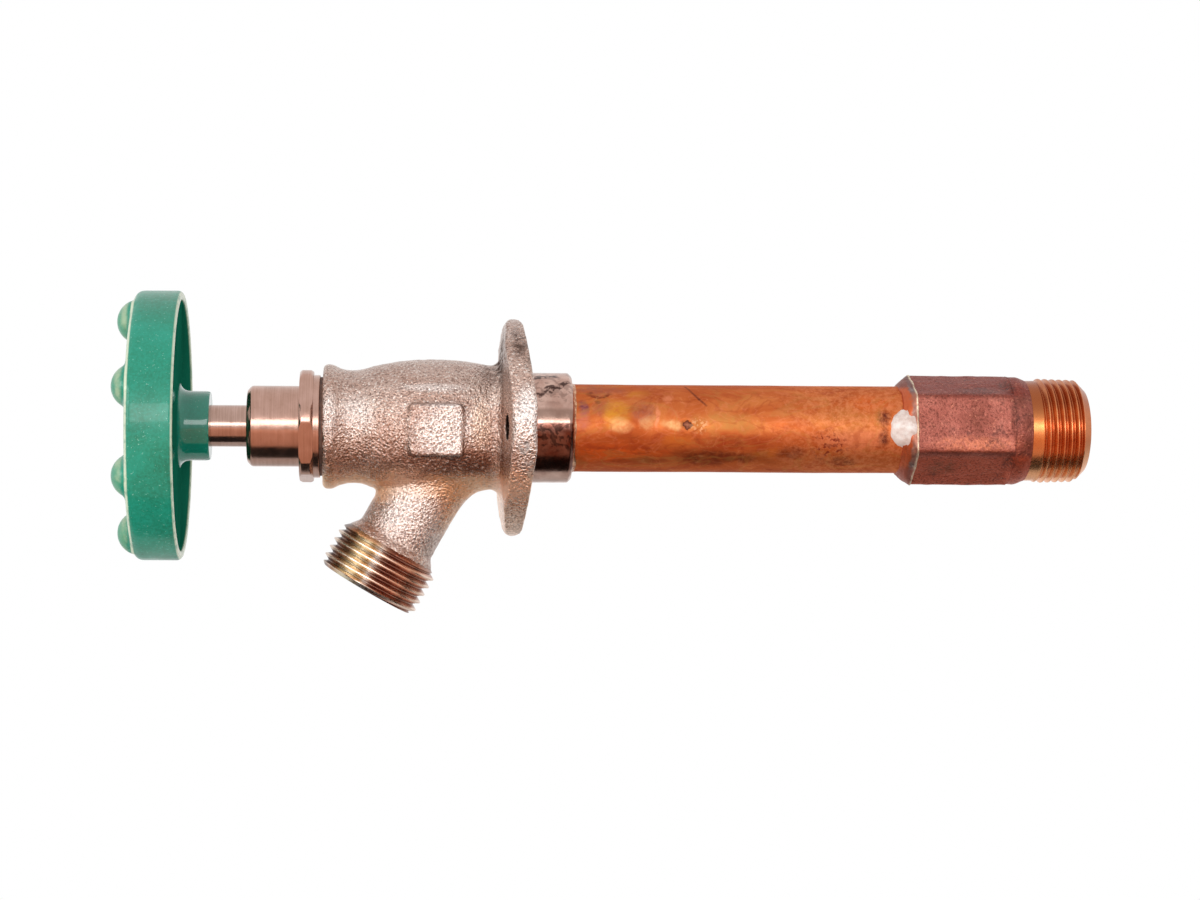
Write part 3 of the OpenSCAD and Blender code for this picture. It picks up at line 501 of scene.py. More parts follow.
def cast_brass():
    s = Surface("cast brass")
    sand = s.noise(0.5, 2, 0.65)
    skin = s.calc("ADD", s.times(sand, 0.6), s.times(s.cells(0.62), 0.4))
    s.base = s.ramp(s.noise(9, 4), [(0.3, (182, 148, 133)), (0.5, (196, 167, 154)), (0.72, (206, 182, 169))])
    s.tint(s.noise(3.5, 5, 0.65), 0.55, 0.75, 0.3, (128, 88, 70))
    # Painted shade, brown, along the lower side; a painted golden reflection under it and painted pink light
    # at the flange's foot
    high = s.calc("ADD", s.z, s.times(s.calc("SUBTRACT", s.noise(5, 3), 0.5), 5))
    shade = s.times(s.spread(high, -5, -7.5, 0.0, 0.6), s.spread(high, -13, -9.5))
    length = s.times(s.spread(s.x, -9, -12), s.spread(s.x, -40, -28, 0.3, 1.0))
    s.paint(s.times(shade, length), (140, 94, 74))
    under = s.times(s.spread(high, -9.5, -13.5), s.spread(high, -20, -16))
    foot = s.times(s.spread(high, -6, -14), s.spread(s.x, -11.5, -9))
    s.paint(s.times(under, 0.85), (255, 206, 162))
    s.paint(s.times(foot, 0.85), (255, 216, 190))
    # Painted highlights, nearly white or cream, where the casting faces the light; a painted brown shade low
    # on the chamber; and a painted golden reflection below the chamber
    highlight_white, cream, brown, torch = (246, 238, 234), (252, 228, 204), (88, 54, 40), (66, 46, 38)
    reflection_golden = (255, 200, 152)
    s.patches([
        ((-21.3, -17.2, -0.7), (7.6, 1.6, 7.2), highlight_white, 0.65),
        ((-31.5, -12.5, -20.5), (7.5, 8, 8.5), highlight_white, 0.7),
        ((-24.0, -13.0, -26.0), (6, 8, 7), highlight_white, 0.5),
        ((-2.6, -32.0, 0.0), (3.0, 6, 9.5), highlight_white, 0.8),
        ((-50.8, -16.0, 2.5), (1.8, 6, 5.5), highlight_white, 0.45),
        ((-44.0, -15.0, 2.5), (4.0, 6, 5.0), highlight_white, 0.4),
        ((-25.0, -14.0, 9.8), (7.5, 6, 1.0), highlight_white, 0.4),
        ((-13.2, -16.5, 0.5), (2.4, 6, 5.5), cream, 0.4),
        ((-17.0, -14.0, -9.6), (6.0, 8, 2.4), brown, 0.5),
        ((-18.5, -8.0, -23.0), (4.5, 9, 10.0), reflection_golden, 0.6),
    ])
    # Sand marks: dark in the hollows, with painted glints on the grains
    hollows = s.times(s.spread(skin, 0.34, 0.48, 0.6, 0.0), s.spread(under, 0.0, 1.0, 1.0, 0.5))
    s.paint(hollows, (96, 60, 46))
    s.tint(s.noise(0.65, 2, 0.6), 0.56, 0.64, 0.5, (250, 238, 230))
    # Speckled marks from the torch on the flange
    s.stir(3, 3)
    speckle = s.spread(s.noise(1.6, 5, 0.65), 0.38, 0.56)
    scale = 0.0
    for centre, reach, share in [
        ((-8.2, -4.0, 18.5), (1.5, 16, 7.0), 0.95),
        ((-4.2, -12.0, 19.8), (1.9, 14, 3.8), 0.95),
        ((-2.0, -14.0, 17.0), (1.3, 14, 3.4), 0.9),
        ((-9.6, -8.0, 13.4), (3.0, 10, 2.4), 0.5),
        ((-3.4, -31.0, -4.8), (1.5, 5, 1.6), 0.45),
        ((-1.4, -28.0, -10.2), (1.2, 6, 2.6), 0.55),
    ]:
        mark = s.times(s.patch(centre, reach, 0.6), speckle, share)
        s.paint(mark, torch)
        scale = s.calc("MAXIMUM", scale, mark)
    # The screw holes are painted black as shade
    beside = s.vector("ABSOLUTE", s.stretch(0, 1, 1))
    off = s.measure("DISTANCE", beside, (0, SCREW_HOLE_Y, 0))
    hole_shade = s.times(s.spread(off, 3.2, 3), s.spread(s.noise(1.5, 3), 0.2, 0.5, 0.85, 1.0))
    s.paint(hole_shade, (30, 20, 16))
    softened = s.calc("MAXIMUM", s.times(under, 0.36), s.times(foot, 0.24))
    dull = s.calc("MAXIMUM", s.times(hole_shade, 0.7), softened)
    rough = s.calc("MAXIMUM", s.spread(skin, 0.3, 0.6, 0.28, 0.13), dull)
    return s.finish(
        Roughness=s.calc("MAXIMUM", rough, s.times(scale, 0.7)),
        Metallic=s.spread(scale, 0.0, 0.8, 1.0, 0.1),
        Specular_IOR_Level=s.spread(scale, 0.0, 0.8, 0.5, 0.05),
        Normal=s.bump(skin, 0.62, 1.0),
    )


def collar_brass():
    s = Surface("stained collar", Metallic=1.0)
    s.stir(2.5, 2.2)
    lathe = s.noise(0.3, 3, 0.6, s.stretch(1.0, 0.02, 0.02))
    s.base = s.ramp(s.noise(4, 3), [(0.35, (178, 140, 126)), (0.65, (206, 172, 158))])
    near_side = s.spread(s.y, 0, -4)
    # Scale from the torch: streaks on the top, and a burnt lower half on the near side, partly torch scale
    # and partly painted shade
    flakes = s.spread(s.noise(2.6, 5, 0.6, None, 1.2), 0.5, 0.58)
    s.paint(s.times(flakes, s.spread(s.z, 5.5, 7.5, 0.1, 0.35)), (74, 50, 44))
    broken = s.spread(s.noise(1.0, 3), 0.4, 0.52, 0.2, 0.9)
    for start, end, width in [
        ((1.4, -11.2, 8.3), (4.4, -9.4, 10.3), 0.5),
        ((4.6, -10.3, 9.4), (8.6, -8.2, 11.3), 0.6),
        ((0.8, -6, 12.6), (5.4, -5.4, 12.8), 0.7),
    ]:
        s.paint(s.times(s.scratch(start, end, width, 0.5, s.stirred), broken), (58, 34, 30))
    # A painted darker band on the near side, over the upper part of the highlight
    highlight_dimming_shade = s.times(s.spread(s.z, 1.2, 2.2), s.spread(s.z, 5.4, 4.2))
    s.paint(s.times(highlight_dimming_shade, near_side, 0.6), (124, 96, 84))
    # The near side's lower half: burnt scale and painted shade
    burnt_and_shade = s.times(s.spread(s.z, 1.6, 0.8), near_side, s.spread(s.noise(2.4, 4), 0.3, 0.6, 1.0, 0.82))
    s.paint(s.times(burnt_and_shade, s.spread(s.z, -11.2, -10)), (98, 52, 40))
    soot = s.spread(s.noise(3.0, 5, 0.6, None, 1.6), 0.47, 0.54)
    s.paint(s.times(soot, burnt_and_shade, s.spread(s.z, -6.5, -5), 0.8), (30, 16, 14))
    rough = s.vary(1.6, 4, 0.14, 0.26)
    normal = s.bump(s.noise(0.5, 3, 0.7), 0.03, 0.4, s.bump(lathe, 0.02, 0.4))
    return s.finish(Roughness=rough, Normal=normal)


def hose_brass():
    """Machined brass with stripes along the spout that paint its highlight and reflections."""
    s = Surface("machined hose thread", Metallic=1.0)
    side = s.measure("DOT_PRODUCT", s.place, tuple(SPOUT_SIDE))
    left, right = [float(SPOUT_ROOT @ SPOUT_SIDE) + v for v in (14, -14)]
    share = s.calc("DIVIDE", s.calc("SUBTRACT", side, right), left - right)
    share = s.calc("ADD", share, s.times(s.calc("SUBTRACT", s.noise(1.6, 3), 0.5), 0.1))
    # Painted highlight and reflections in stripes across the thread
    s.base = s.ramp(share, [
        (0.0, (146, 100, 86)), (0.12, (208, 156, 134)), (0.26, (222, 172, 150)), (0.37, (176, 124, 106)),
        (0.46, (148, 102, 88)), (0.52, (176, 148, 134)), (0.57, (236, 230, 224)), (0.63, (212, 188, 154)),
        (0.70, (252, 240, 214)), (0.79, (250, 232, 198)), (0.86, (184, 136, 104)), (0.93, (104, 72, 58)),
        (1.0, (88, 60, 50)),
    ])
    fine = s.noise(0.5, 3, 0.6)
    s.tint(s.noise(2, 3), 0.58, 0.74, 0.25, (140, 100, 82))
    # The roots are darker, and the crests carry a painted highlight
    radius = s.off_line(s.place, SPOUT_ROOT, SPOUT_AXIS)
    s.tint(radius, 12.6, 12.1, 0.5, (88, 54, 42))
    s.tint(radius, 12.8, 13.2, 0.7, (250, 226, 206))
    return s.finish(Roughness=s.spread(fine, 0.3, 0.7, 0.24, 0.34), Normal=s.bump(fine, 0.006, 0.3))


def pipe_brass():
    s = Surface("machined pipe thread", Metallic=1.0)
    fine = s.noise(0.5, 3, 0.6)
    s.base = s.ramp(s.noise(4, 4), [(0.3, (202, 122, 78)), (0.62, (226, 150, 100))])
    s.tint(s.noise(2.2, 3, 0.6), 0.58, 0.74, 0.3, (140, 78, 52))
    # The roots are darker and the plain ring behind the thread is clean; painted shade darkens the top and
    # painted light brightens the foot
    radius = s.from_axis()
    s.tint(radius, 12.8, 12.2, 0.6, (176, 96, 56))
    ring = s.spread(s.x, X_PIPE + 0.9, X_PIPE + 0.3)
    s.paint(ring, (216, 134, 80))
    s.paint(s.times(ring, s.spread(s.z, 1, 6, 0.0, 0.6)), (128, 62, 38))
    s.tint(s.z, -2, -8, 0.6, (255, 190, 140))
    s.tint(s.z, 4, 8, 0.45, (140, 70, 44))
    return s.finish(Roughness=s.spread(fine, 0.3, 0.7, 0.24, 0.34), Normal=s.bump(fine, 0.006, 0.3))


def tinted_copper():
    s = Surface("heat tinted copper", Metallic=0.62, Specular_Tint=srgb(226, 176, 154))
    s.stir(4, 3.4)
    flow = s.stretch(0.55, 1.0, 1.0)
    s.base = s.ramp(s.noise(11, 7, 0.62, flow, 1.0), [
        (0.28, (158, 68, 30)), (0.42, (184, 88, 40)), (0.54, (196, 100, 50)), (0.64, (206, 118, 62)),
        (0.76, (186, 86, 42)),
    ])
    plum, rose, mauve, soot = (112, 62, 78), (198, 116, 98), (158, 90, 72), (84, 28, 26)
    gold, honey, cream, pink = (214, 146, 48), (186, 122, 62), (222, 172, 116), (234, 144, 104)
    rust, brown, ember, amber = (160, 62, 30), (112, 44, 22), (224, 94, 32), (206, 112, 42)
    # Heat tints of the near side: place along the tube and up it, half lengths, colour and strength
    # The cream and honey patches near the middle of the height are partly heat tint and partly painted
    # highlight
    tints = [
        (12.4, 5.0, 1.2, 1.9, plum, 0.85), (12.4, 2.3, 1.6, 2.5, rose, 0.6),
        (16.2, 8.0, 2.6, 0.4, soot, 0.85), (16.0, 6.7, 0.6, 0.6, soot, 0.8),
        (18.9, 8.2, 1.2, 0.4, soot, 0.65), (16.6, 9.4, 6.2, 1.1, mauve, 0.7),
        (17.1, 5.0, 2.2, 1.9, mauve, 0.55), (21.2, 4.3, 3.4, 2.6, gold, 0.7),
        (26.5, 8.6, 3.0, 1.1, gold, 0.4), (19.5, 2.1, 2.0, 2.0, gold, 0.55),
        (21.8, 0.7, 2.6, 1.8, cream, 0.6), (27.9, 4.0, 2.8, 2.5, mauve, 0.7),
        (28.7, 1.6, 2.2, 1.6, cream, 0.45), (31.2, 2.7, 0.5, 2.5, pink, 0.75),
        (31.2, 8.4, 4.1, 2.2, rust, 0.5), (33.8, 7.4, 1.2, 0.9, pink, 0.6),
        (35.0, 0.9, 2.3, 1.2, cream, 0.85), (45.8, 1.4, 7.2, 2.2, honey, 0.8),
        (51.9, 1.5, 5.0, 1.9, honey, 0.75), (20.0, -6.3, 9.0, 2.6, ember, 0.85),
        (17.4, -4.7, 3.7, 0.6, rust, 0.75), (25.5, -4.6, 4.7, 0.5, rust, 0.7),
        (30.6, -2.7, 2.8, 1.2, rust, 0.5), (36.3, -3.0, 3.7, 1.9, amber, 0.7),
        (43.6, -7.3, 6.5, 1.9, brown, 0.85), (47.2, -4.0, 5.3, 1.6, rust, 0.7),
        (32.4, -6.2, 2.5, 0.8, ember, 0.5), (25.8, -8.3, 8.1, 0.8, brown, 0.5),
        (53.3, -2.9, 7.8, 1.7, rust, 0.7), (51.2, -7.2, 4.1, 1.2, brown, 0.8),
        (59.0, -6.2, 2.8, 1.2, amber, 0.6), (64.7, -6.2, 3.4, 1.6, brown, 0.7),
        (79.7, 1.9, 8.4, 3.4, honey, 0.5), (80.0, -2.5, 8.0, 2.2, pink, 0.5),
        (78.3, -8.1, 2.8, 0.8, brown, 0.8), (74.4, 8.9, 2.2, 0.8, rust, 0.6),
        (85.0, 6.8, 5.0, 1.9, ember, 0.4), (88.0, 3.0, 1.9, 2.2, soot, 0.95),
        (88.1, -1.9, 1.3, 2.0, soot, 0.9),
    ]
    fleck = s.spread(s.noise(1.3, 5, 0.65), 0.3, 0.62, 0.45, 1.0)
    for x, z, long, high, colour, share in tints:
        centre = (x, -math.sqrt(TUBE_R**2 - z**2), z)
        s.patches([(centre, (long, 4, high), colour, share)], fleck)
    # Soft lines where one tint meets the next
    lines = [(8, 0.04, rust, 0.4), (13, 0.035, honey, 0.4), (5, 0.03, pink, 0.2)]
    for size, half_width, colour, share in lines:
        level = s.calc("ABSOLUTE", s.calc("SUBTRACT", s.noise(size, 3, 0.5, flow, 1.2), 0.5))
        s.paint(s.times(s.spread(level, 0.0, half_width, share, 0.0), fleck), colour)
    # A brown track across the top, spots near the inlet, and scorched and pale clouds
    track = [(38.6, -3.4, 10.55), (40.2, -6.6, 8.95), (41.7, -8.3, 7.35), (43.4, -9.45, 5.8)]
    for start, end in zip(track, track[1:]):
        s.paint(s.times(s.scratch(start, end, 0.12, 0.32, s.place), fleck, 0.7), (92, 42, 30))
    spots = s.spread(s.noise(1.1, 2, 0.5), 0.52, 0.58, 0.0, 0.85)
    s.paint(s.times(spots, s.patch((74.0, -10.2, -4.0), (4.2, 4, 4.0), 0.4)), (124, 36, 22))
    s.tint(s.noise(6, 7, 0.66, flow, 1.2), 0.58, 0.72, 0.5, (140, 58, 30))
    mottle = s.spread(s.noise(1.2, 5, 0.7), 0.42, 0.62, 0.0, 0.4)
    s.paint(s.times(mottle, s.spread(s.x, 56, 72)), (232, 146, 98))
    s.tint(s.noise(3.2, 7, 0.7, None, 1.5), 0.58, 0.7, 0.45, (216, 134, 82))
    # A brown dent with a dark edge, and pale chips behind it
    off = s.vector("ABSOLUTE", s.vector("SUBTRACT", s.place, tuple(DENT)))
    reach = s.measure("DOT_PRODUCT", off, (1 / 1.5, 1 / 4.0, 1 / 1.4))
    reach = s.calc("ADD", reach, s.vary(0.9, 3, -0.2, 0.2))
    pit = s.ramp(reach, [(0.2, (150, 96, 74)), (0.65, (122, 68, 52)), (0.95, (70, 34, 28))])
    s.paint(s.spread(reach, 0.9, 1.15, 0.95, 0.0), pit)
    chips = s.patch((41.5, -TUBE_R, 0.9), (1.8, 4, 2.2), 0.4)
    s.paint(s.times(chips, s.spread(s.noise(0.8, 2), 0.5, 0.58), 0.45), (230, 178, 132))
    rough = s.vary(5, 5, 0.40, 0.56)
    draw = s.noise(0.8, 3, 0.6, s.stretch(0.06, 1.0, 1.0))
    peel = s.noise(1.2, 4, 0.65)
    return s.finish(Roughness=rough, Normal=s.bump(peel, 0.05, 0.6, s.bump(draw, 0.02, 0.4)))


def cast_bronze():
    s = Surface("dark cast bronze", Metallic=0.9)
    sand = s.noise(0.6, 3, 0.65)
    s.base = s.ramp(s.noise(6, 4), [(0.3, (132, 74, 62)), (0.5, (154, 88, 76)), (0.7, (172, 104, 90))])
    # Painted light, orange-red, on the lower facet and painted shade on the top
    s.tint(s.z, -5.5, -7.5, 0.7, (204, 96, 64))
    s.tint(s.z, 7.5, 9.5, 0.75, (130, 52, 40))
    s.paint(s.spread(sand, 0.34, 0.5, 0.6, 0.0), (88, 44, 36))
    s.tint(s.noise(4, 5, 0.6, None, 0.8), 0.58, 0.72, 0.6, (84, 54, 50))
    s.tint(s.noise(0.8, 2, 0.6), 0.6, 0.72, 0.55, (206, 134, 110))
    # Smudges from the torch and an olive patch on the near side, and a painted orange glint below its middle
    smudge, olive, glint_orange = (62, 40, 36), (104, 66, 44), (224, 136, 100)
    fleck = s.spread(s.noise(0.9, 4, 0.7), 0.4, 0.6, 0.2, 1.0)
    s.stir(4, 2.5)
    s.patches([
        ((112.0, -8.6, 9.8), (5.0, 5, 1.2), smudge, 0.55),
        ((119.6, -7.6, 11.0), (1.6, 5, 1.6), smudge, 0.6),
        ((120.6, -12.8, 3.5), (1.0, 4, 4.5), smudge, 0.6),
        ((119.8, -10.2, -8.0), (1.6, 4, 2.0), smudge, 0.6),
        ((103.0, -9.0, -9.4), (4.0, 4, 2.4), olive, 0.6),
        ((111.0, -12.3, -3.4), (10.0, 4, 1.8), glint_orange, 0.5),
    ], fleck)
    return s.finish(Roughness=s.spread(sand, 0.3, 0.7, 0.5, 0.36), Normal=s.bump(sand, 0.2, 1.0))


def collar_braze():
    s = Surface("coppery braze", Metallic=1.0)
    lump = s.noise(1.1, 4, 0.6)
    s.base = s.ramp(lump, [(0.3, (120, 72, 52)), (0.5, (190, 134, 104)), (0.7, (232, 196, 160))])
    return s.finish(Roughness=s.vary(0.7, 3, 0.26, 0.48), Normal=s.bump(lump, 0.12, 0.7))


def inlet_braze_skin():
    """Grey braze with a painted highlight on its rear edge, coppery in front, painted shade in mauve and dark
    bronze towards the top, and bronze where it is lowest.
    """
    s = Surface("stained braze", Metallic=0.9)
    lump = s.noise(0.9, 4, 0.6)
    s.base = s.ramp(lump, [(0.3, (106, 86, 82)), (0.5, (142, 120, 114)), (0.7, (190, 170, 160))])
    # Painted shade towards the top
    s.tint(s.z, 3, 6.5, 0.6, (112, 88, 90))
    stain = s.times(s.spread(s.y, -8.8, -10.8), s.spread(s.noise(2, 4), 0.3, 0.6, 0.45, 0.8))
    s.paint(stain, (172, 108, 86))
    ragged = s.calc("ADD", s.x, s.vary(1.5, 3, -0.3, 0.3))
    s.tint(ragged, X_INLET + 1.5, X_INLET + 0.7, 0.9, (196, 94, 52))
    s.tint(s.z, -8.6, -10.4, 0.85, (160, 88, 72))
    # Painted shade at the top
    s.tint(s.z, 10, 11.2, 0.85, (116, 72, 66))
    # A painted highlight along the rear edge
    edge = s.spread(s.x, X_INLET + 2.1, X_INLET + 2.5)
    s.paint(s.times(edge, s.spread(s.noise(1.5, 3), 0.3, 0.55, 0.35, 0.85)), (232, 212, 184))
    return s.finish(Roughness=s.vary(0.7, 3, 0.38, 0.56), Normal=s.bump(lump, 0.1, 0.7))


def white_flux():
    s = Surface("white braze splash", Metallic=0.25)
    lump = s.noise(1.6, 5, 0.6)
    s.base = s.ramp(lump, [(0.3, (206, 180, 168)), (0.5, (228, 210, 202)), (0.7, (242, 234, 228))])
    # Painted shade, pinker, on the lower part
    s.tint(s.z, -1, -4, 0.5, (206, 170, 154))
    return s.finish(Roughness=s.vary(0.7, 3, 0.5, 0.7), Normal=s.bump(lump, 0.06, 0.6))


def plated_steel():
    s = Surface("zinc plated steel", Metallic=1.0)
    brush = s.noise(0.25, 3, 0.6, s.stretch(0.2, 1.0, 1.0))
    s.base = s.ramp(s.noise(2, 3), [(0.35, (170, 170, 166)), (0.65, (204, 204, 198))])
    return s.finish(Roughness=s.spread(brush, 0.3, 0.7, 0.24, 0.4), Normal=s.bump(brush, 0.02, 0.4))


def soft_seal(name, dark, light, grain):
    s = Surface(name, Metallic=0.0)
    s.base = s.ramp(s.noise(grain, 4), [(0.35, dark), (0.7, light)])
    rough = s.vary(grain / 2, 3, 0.5, 0.75)
    return s.finish(Roughness=rough, Normal=s.bump(s.noise(grain / 3, 3), 0.03, 0.5))


GREEN = enamel()
NUT_BRASS = turned_brass("turned brass", (194, 156, 142), (172, 134, 118), 0.35, 0.35, 0.15)
STEM_BRASS = turned_brass("polished stem", (190, 158, 146), (166, 134, 120), 0.25, 0.15, 0.12)
INNER_BRASS = turned_brass("inner brass", (222, 184, 120), (190, 146, 86), 0.3, 0.2, 0.22)
CAST = cast_brass()
COLLAR = collar_brass()
HOSE_BRASS = hose_brass()
PIPE_BRASS = pipe_brass()
COPPER = tinted_copper()
BRONZE = cast_bronze()
BRAZE = collar_braze()
INLET_BRAZE = inlet_braze_skin()
FLUX = white_flux()
STEEL = plated_steel()
RUBBER = soft_seal("black rubber", (20, 19, 18), (44, 42, 40), 3)
GASKET = soft_seal("brown rubber", (78, 54, 44), (124, 90, 74), 1.5)
PACKING = soft_seal("graphite packing", (34, 34, 36), (70, 70, 74), 1.2)


def dress(obj, material, body, slot, sharp, *nodes):
    """Gives a new piece its material and its body, and hides the CAD nodes that it stands for; slot is not
    used.
    """
    obj.data.materials.clear()
    obj.data.materials.append(material)
    obj.data.shade_smooth()
    if sharp:
        obj.data.set_sharp_from_angle(angle=math.radians(sharp))
    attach(obj, body)
    if nodes:
        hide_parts(*nodes)


def repaint(material, *nodes):
    """Gives CAD nodes that stay in view, or inside, their material."""
    for n in nodes:
        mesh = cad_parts[n].data
        mesh.materials.clear()
        mesh.materials.append(material)


# Pieces


def handwheel():
    points, faces = remeshed("handwheel", WHEEL_NET)
    pairs = edge_pairs(faces)
    points = fill_corners(points, faces, pairs, 10)
    points = relax(points, pairs, 8)
    points = points + point_normals(points, faces) * lumps(points, (0.03, 6.0, 3))[:, None]
    piece = new_piece("handwheel_enamelled", points, faces)
    dress(piece, GREEN, "stem", "green_enamel", None, "handwheel")


def packing_nut():
    across, turn, edge = 26.8, math.radians(18), 0.06
    barrel_r, shoulder_r, thread_r, hole_r = 10.2, 13.0, 11.0, STEM_R + 0.05
    room_r, packing_r, room_x, packing_x, end_x = 9.33, 8.25, -55.15, X_NUT + 2.6, X_MOUTH + 6.2
    chamfer, bevel = 1.1, 0.6
    corner = across / 2 / math.cos(TAU / 12) - 1.05
    outline = [
        (X_NUT, hole_r, 0.15), (X_NUT, barrel_r - chamfer, 0.3), (X_NUT + chamfer, barrel_r, 0.45),
        (X_BARREL, barrel_r, 0.25), (X_BARREL, corner - bevel, 0.12), (X_BARREL + bevel, corner, 0.2),
        (X_HEX - bevel, corner, 0.2), (X_HEX, corner - bevel, 0.12), (X_HEX, shoulder_r, 0.1),
        (X_HEX + 0.05, shoulder_r, 0.02), (X_SHOULDER, shoulder_r, 0.25), (X_SHOULDER, thread_r, 0.1),
        (end_x, thread_r, 0.1), (end_x, room_r, 0.1), (room_x, room_r, 0.05), (room_x, packing_r, 0.05),
        (packing_x, packing_r, 0.05), (packing_x, hole_r, 0.05),
    ]

    def shape(x, r, a):
        on_hex = (x >= X_BARREL - 1e-6) & (x <= X_HEX + 1e-6) & (r > barrel_r + 0.3)
        return np.where(on_hex, soft_min(hex_radius(a, across, turn), r, edge), r)

    piece = turned("packing_nut_turned", outline, 288, shape)
    dress(piece, NUT_BRASS, "hydrant", "turned_brass", 40, "packing_nut")


def spout_place(points):
    """Distance along the spout's axis, and from it."""
    off = points - SPOUT_ROOT
    s = off @ SPOUT_AXIS
    return s, np.linalg.norm(off - s[:, None] * SPOUT_AXIS, axis=1)


def wall_side(z):
    """Where the flange's drafted back lies at a height."""
    draft, level = 0.1345, 6.0
    return -draft * np.maximum(np.abs(z) - level, 0)


def body_casting():
    """The casting with its fillets and sand skin, drawn in under the collar and the hose thread."""
    bore_skin_r, spout_skin_r, screw_skin_r = 12.4, 8.6, 3.3
    fillet_in, fillet_out, fillet_r = (10, 14), (24, 28), 20
    under, end_gap, thread_core = 0.5, 0.7, (8.4, 11.2)
    points, faces = remeshed("valve_body", BODY_NET)
    pairs = edge_pairs(faces)
    s, spout_r = spout_place(points)
    barrel_r = axis_distance(points)
    hole_r = np.hypot(np.abs(points[:, 1]) - SCREW_HOLE_Y, points[:, 2])
    off_spout_bore = (spout_r > spout_skin_r) | (s < 8) | (barrel_r > 40)
    outside = (barrel_r > bore_skin_r) & off_spout_bore & (hole_r > screw_skin_r)
    spout_root = smooth_step(s, *fillet_in) * (1 - smooth_step(s, *fillet_out)) * (spout_r < fillet_r)
    points = fill_corners(points, faces, pairs, 50, spout_root * outside)
    points = fill_corners(points, faces, pairs, 8, outside)
    points = relax(points, pairs, 8, outside[:, None])
    s, spout_r = spout_place(points)
    barrel_r = axis_distance(points)
    cast = outside & (points[:, 0] < wall_side(points[:, 2]) - 0.3) & (s < S_THREAD - 0.5)
    skin = lumps(points, (0.08, 4.2, 11), (0.06, 1.7, 12), (0.05, 0.8, 13))
    points = points + point_normals(points, faces) * (skin * cast)[:, None]
    behind_wall = points[:, 0] > wall_side(points[:, 2]) + 0.15
    collar = behind_wall & (barrel_r > bore_skin_r) & (barrel_r < COLLAR_R + 0.7)
    points[:, 1:] *= np.where(collar, np.minimum(1, (COLLAR_R - under) / barrel_r), 1)[:, None]
    points[:, 0] = np.where(collar, np.minimum(points[:, 0], X_COLLAR_END - under), points[:, 0])
    s, spout_r = spout_place(points)
    radial = points - SPOUT_ROOT - s[:, None] * SPOUT_AXIS
    wanted = np.clip(spout_r, *thread_core) / np.maximum(spout_r, 1e-6)
    moved = SPOUT_ROOT + np.minimum(s, S_END - end_gap)[:, None] * SPOUT_AXIS + radial * wanted[:, None]
    points = np.where((s > S_THREAD + 0.1)[:, None], moved, points)
    dress(new_piece("body_casting", points, faces), CAST, "hydrant", "cast_brass", None, "valve_body")


def body_collar():
    start, chamfer, hole_r = -3.0, 0.9, TUBE_R + TUBE_GAP
    outline = [
        (start, hole_r, 0.05), (start, COLLAR_R, 0.05), (X_COLLAR_END - chamfer, COLLAR_R, 0.3),
        (X_COLLAR_END, COLLAR_R - chamfer, 0.3), (X_COLLAR_END, hole_r, 0.15),
    ]
    dress(turned("body_collar", outline, 160), COLLAR, "hydrant", "turned_brass", 40)


def hose_thread():
    start, crest, depth, pitch, mouth_r = S_THREAD - 0.3, 13.495, 1.43, 2.209, 8.1

    def root(x):
        return crest - depth + 0 * x

    def limit(x):
        """The slope where the thread starts, and the chamfer at the mouth."""
        return np.minimum(11.4 + (x - start) * 1.1, 12.3 + S_END - x)

    bore = [(S_END, mouth_r), (S_END - 0.7, SPOUT_BORE_R), (start, SPOUT_BORE_R)]
    verts, faces = threaded(start, S_END, pitch, depth, root, np.ones_like, limit, 144, 16, bore)
    dress(new_piece("hose_thread", to_spout(verts), faces), HOSE_BRASS, "hydrant", "cast_brass", 28)


def copper_tube():
    columns, start, edge = 240, -2.0, 0.7
    corners = [(start, TUBE_R), (start, TUBE_BORE_R), (X_TUBE_END, TUBE_BORE_R), (X_TUBE_END, TUBE_R)]
    # Rows of points from the rear end to the front one, closest round the dent
    spans = [(X_TUBE_END - edge, 45.5, 86), (45.2, 33.5, 48), (33, start + edge, 50)]
    steps = np.concatenate([np.linspace(*span) for span in spans])
    outline = np.concatenate([corners, np.stack([steps, np.full(len(steps), TUBE_R)], 1)])
    flat = around_x(outline, columns).reshape(-1, 3)
    radius = axis_distance(flat)
    skin = (radius > TUBE_R - 0.01) & (flat[:, 0] > X_COLLAR_END + 1) & (flat[:, 0] < X_INLET - 1)
    wave = lumps(flat, (0.05, 14, 21), (0.02, 4, 22)) - 0.06
    # A dent from a knock with its raised edge, and chips of braze beside it
    off = np.linalg.norm(flat - DENT, axis=1) + lumps(flat, (0.45, 1.1, 23))
    dent = -0.3 * (1 - smooth_step(off, 0.3, 1.6)) + 0.07 * np.exp(-(((off - 2.0) / 0.6) ** 2))
    chips = np.exp(-((np.linalg.norm(flat - DENT - [3.2, 0, -0.3], axis=1) / 1.3) ** 2))
    chips = 0.16 * chips * smooth_step(value_noise(flat, 0.8, 24), 0.05, 0.5)
    swell(flat, np.where(skin, wave + dent + chips, 0))
    piece = new_piece("copper_tube", flat, grid_faces(len(outline), columns, True))
    dress(piece, COPPER, "hydrant", "copper", 40, "casing_tube")


def collar_fillet():
    """A lumpy fillet of braze between the tube and the collar's face."""
    columns, steps, reach, rise, inner = 160, 9, 0.8, 0.9, TUBE_R + TUBE_GAP
    angle = angles(columns)
    ring = np.stack([np.cos(angle), np.sin(angle), 0 * angle], -1) * 4
    long = reach * (1 + lumps(ring, (0.45, 1.1, 51)))
    tall = rise * (1 + lumps(ring, (0.25, 1.4, 52)))
    rows = []
    for t in np.linspace(0, 1, steps):
        bow = 1 - np.sqrt(1 - (1 - t) ** 2 * 0.98)
        rows.append((X_COLLAR_END + long * t, inner + tall * (0.12 * (1 - t) + bow)))
    rows.append((X_COLLAR_END + 0 * angle, inner + 0 * angle))
    dress(ring_of_rows("collar_braze", rows, angle), BRAZE, "hydrant", "braze", 50, "collar_braze_ring")


